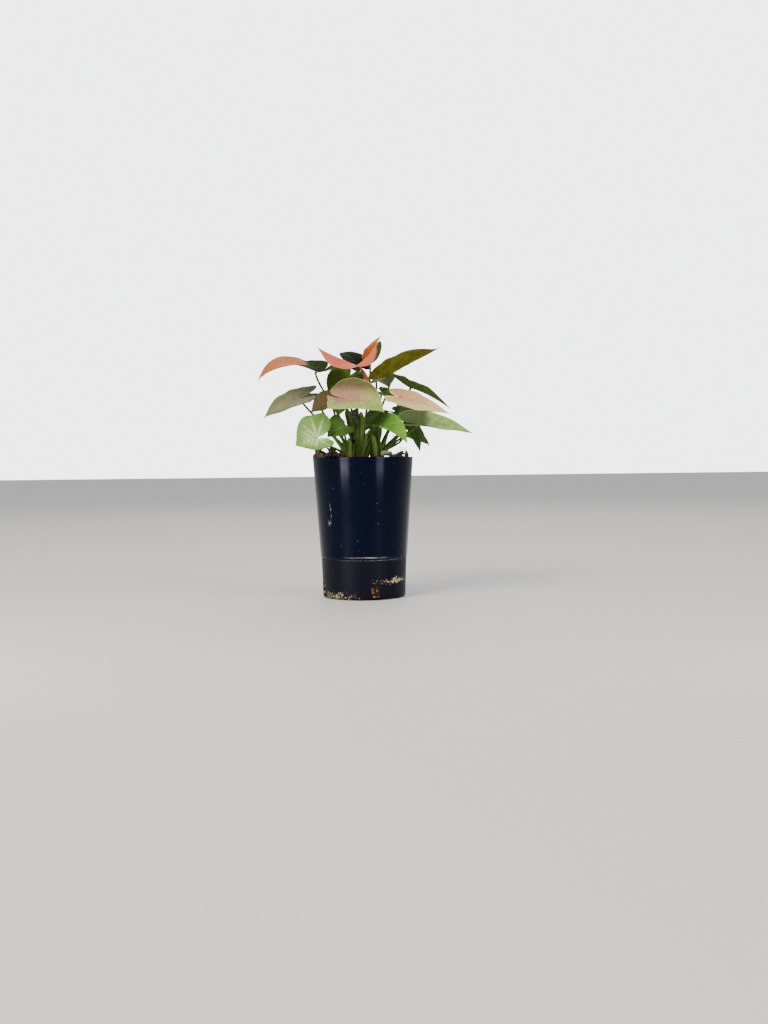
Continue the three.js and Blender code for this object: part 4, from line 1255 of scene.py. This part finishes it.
def stalk(leaf, end, normal, seed):
    """A stalk from its stem, out and up to the underside of its blade."""
    x, y = SHOOTS[leaf["shoot"]]
    start = np.array((x, y, STALK_FOOT))
    way = end - start
    outward = np.array((way[0], way[1], 0)) / np.hypot(way[0], way[1])
    reach = np.linalg.norm(way)
    rising = way / reach + (0, 0, 0.6)
    rising /= np.linalg.norm(rising)
    start = start + outward * STALK_CLASP
    leaving, arriving = start + rising * 0.35 * reach, end - normal * 9
    path = curve_points(start, leaving, arriving, end, STALK_STEPS)
    t = np.linspace(0, 1, len(path))
    at_stem, at_blade = np.exp(-((t / 0.2) ** 2)), np.exp(-(((1 - t) / 0.05) ** 2))
    radii = STALK_RADIUS + 0.3 * (1 - t) + 1.0 * at_stem + 0.35 * at_blade
    path = np.vstack([start - (0, 0, STALK_SUNK), path])
    radii = np.concatenate([[radii[0]], radii])
    groove = 0.45 * np.exp(-((np.concatenate([[0], t]) / 0.3) ** 2))
    return tube(path, radii, groove, seed)


def stem(x, y, top, seed):
    """A stem with its sheath, which narrows a little and closes to a blunt tip."""
    heights = np.linspace(STEM_FOOT, top - 6, 14)
    heights = np.concatenate([heights, top - np.array((3, 1, 0))])
    count = len(heights)
    path = np.column_stack([np.full(count, x), np.full(count, y), heights])
    widths = (STEM_RADIUS, STEM_RADIUS, SHEATH_RADIUS, 1.2)
    radii = np.interp(heights, (STEM_FOOT, 142, top - 6, top), widths)
    radii = radii * (1 + 0.04 * np.sin(heights * 0.9 + seed))
    return tube(path, radii, [0.18] * count, seed)


def opened_sheath(x, y, low, high, facing, spread, lean):
    """A thin old sheath that stands round a stem, open on one side and curling outwards."""
    shares = np.linspace(0, 1, 12)
    turns = np.radians(np.linspace(-spread, spread, 17))
    facing = math.radians(facing)
    points, faces = [], []
    for wall in (0.25, -0.25):
        for t in shares:
            for turn in turns:
                radius = SHEATH_RADIUS + 1.2 + wall + 2.2 * t**2 * (turn / turns[-1]) ** 2
                slope = 5 * t * (1 - (turn / turns[-1]) ** 2)
                across = radius * math.cos(facing + turn) + lean * t * math.cos(facing)
                deep = radius * math.sin(facing + turn) + lean * t * math.sin(facing)
                points.append((x + across, y + deep, low + (high - low) * t + slope))
    wide, tall = len(turns), len(shares)
    for i in range(tall - 1):
        for j in range(wide - 1):
            a = i * wide + j
            faces.append((a, a + 1, a + wide + 1, a + wide))
    rim = [j for j in range(wide)] + [i * wide + wide - 1 for i in range(1, tall)]
    rim += [(tall - 1) * wide + j for j in range(wide - 2, -1, -1)]
    rim += [i * wide for i in range(tall - 2, 0, -1)]
    return points, faces, second_side(faces, rim[::-1], wide * tall)


# Old sheaths that have opened: the shoot, low and high end in millimetres, the way the closed
# side looks and half the spread in degrees, and how far the top leans that way.
OPENED = [
    ("centre", 138, 176, 150, 95, 0),
    ("centre", 137, 162, -12, 80, 4.5),
    ("centre", 131, 149, -20, 70, 7),
    ("left", 138, 152, 60, 110, 0),
    ("right", 136, 158, 188, 85, 3),
    ("back_right", 136, 156, 220, 85, 3),
]
coat_list = [green_skin, green_sheath, brown_sheath]

for number, (shoot, (x, y)) in enumerate(SHOOTS.items()):
    points, faces, places = stem(x, y, SHEATH_TOPS[shoot], number * 9)
    coats = [1] * len(faces)
    for seed, (name, leaf) in enumerate(LEAVES.items()):
        if leaf["shoot"] == shoot:
            more, more_faces, more_places = stalk(leaf, *stalk_ends[name], seed * 3)
            faces += [tuple(len(points) + i for i in face) for face in more_faces]
            points = points + more
            places = places + more_places
            coats += [0] * len(more_faces)
    for where, *shape in OPENED:
        if where == shoot:
            more, outside, inside = opened_sheath(x, y, *shape)
            faces += [tuple(len(points) + i for i in face) for face in outside + inside]
            points = points + more
            places = places + [(0, 0, 0)] * len(more)
            coats += [1] * len(outside) + [2] * len(inside)
    made = mesh_object("shoot_" + shoot, np.array(points) * MM, faces, coat_list)
    made.data.polygons.foreach_set("material_index", coats)
    skin_place = made.data.attributes.new("stalk", "FLOAT_VECTOR", "POINT")
    skin_place.data.foreach_set("vector", np.array(places, np.float32).ravel())
    sharpen(made.data, 60)
    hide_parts("shoot_" + shoot)
    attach(made, "root")


# ------------------------------------------------------------------ dried husk
# A dropped leaf sheath, dry and papery, that stands on the compost beside the right rim. It
# is bent like a small blade.
HUSK_STANDS = 2.6
foot_height = soil_height(42, -9) + HUSK_STANDS
HUSK = dict(
    at=(42, -9, foot_height), tip=(43, -9, foot_height + 12), up=(0.3, -1, 0.1), width=7,
    fold=38, arch=30, lobe=0.3, quilt=0.3,
)

# Dead leaf tissue, dried to paper: dull and brown, with its ribs standing out as pale streaks,
# drawn 1.1 mm wide, because finer ones wouldn't show.
papery, tree, surface = material("dried_papery_leaf_sheath", Roughness=0.75)
place = add(tree, "TexCoord", out="Object")
lines = add(tree, "Mapping", place, Scale=(per(1.111), per(1.111), per(7.69)))
streaky = add(tree, "TexNoise", lines, 1, 4, 0.65)
ribs = add(tree, "MapRange", streaky, 0.35, 0.65, **SMOOTH)
put(surface["Base Color"], painted(tree, "#3b2a16", (ribs, "#7d6038")))
put(surface["Normal"], add(tree, "Bump", Height=streaky, Distance=0.4 * MM, Strength=0.6))
husk = leaf_object("dried_husk", HUSK, 99, papery, papery)
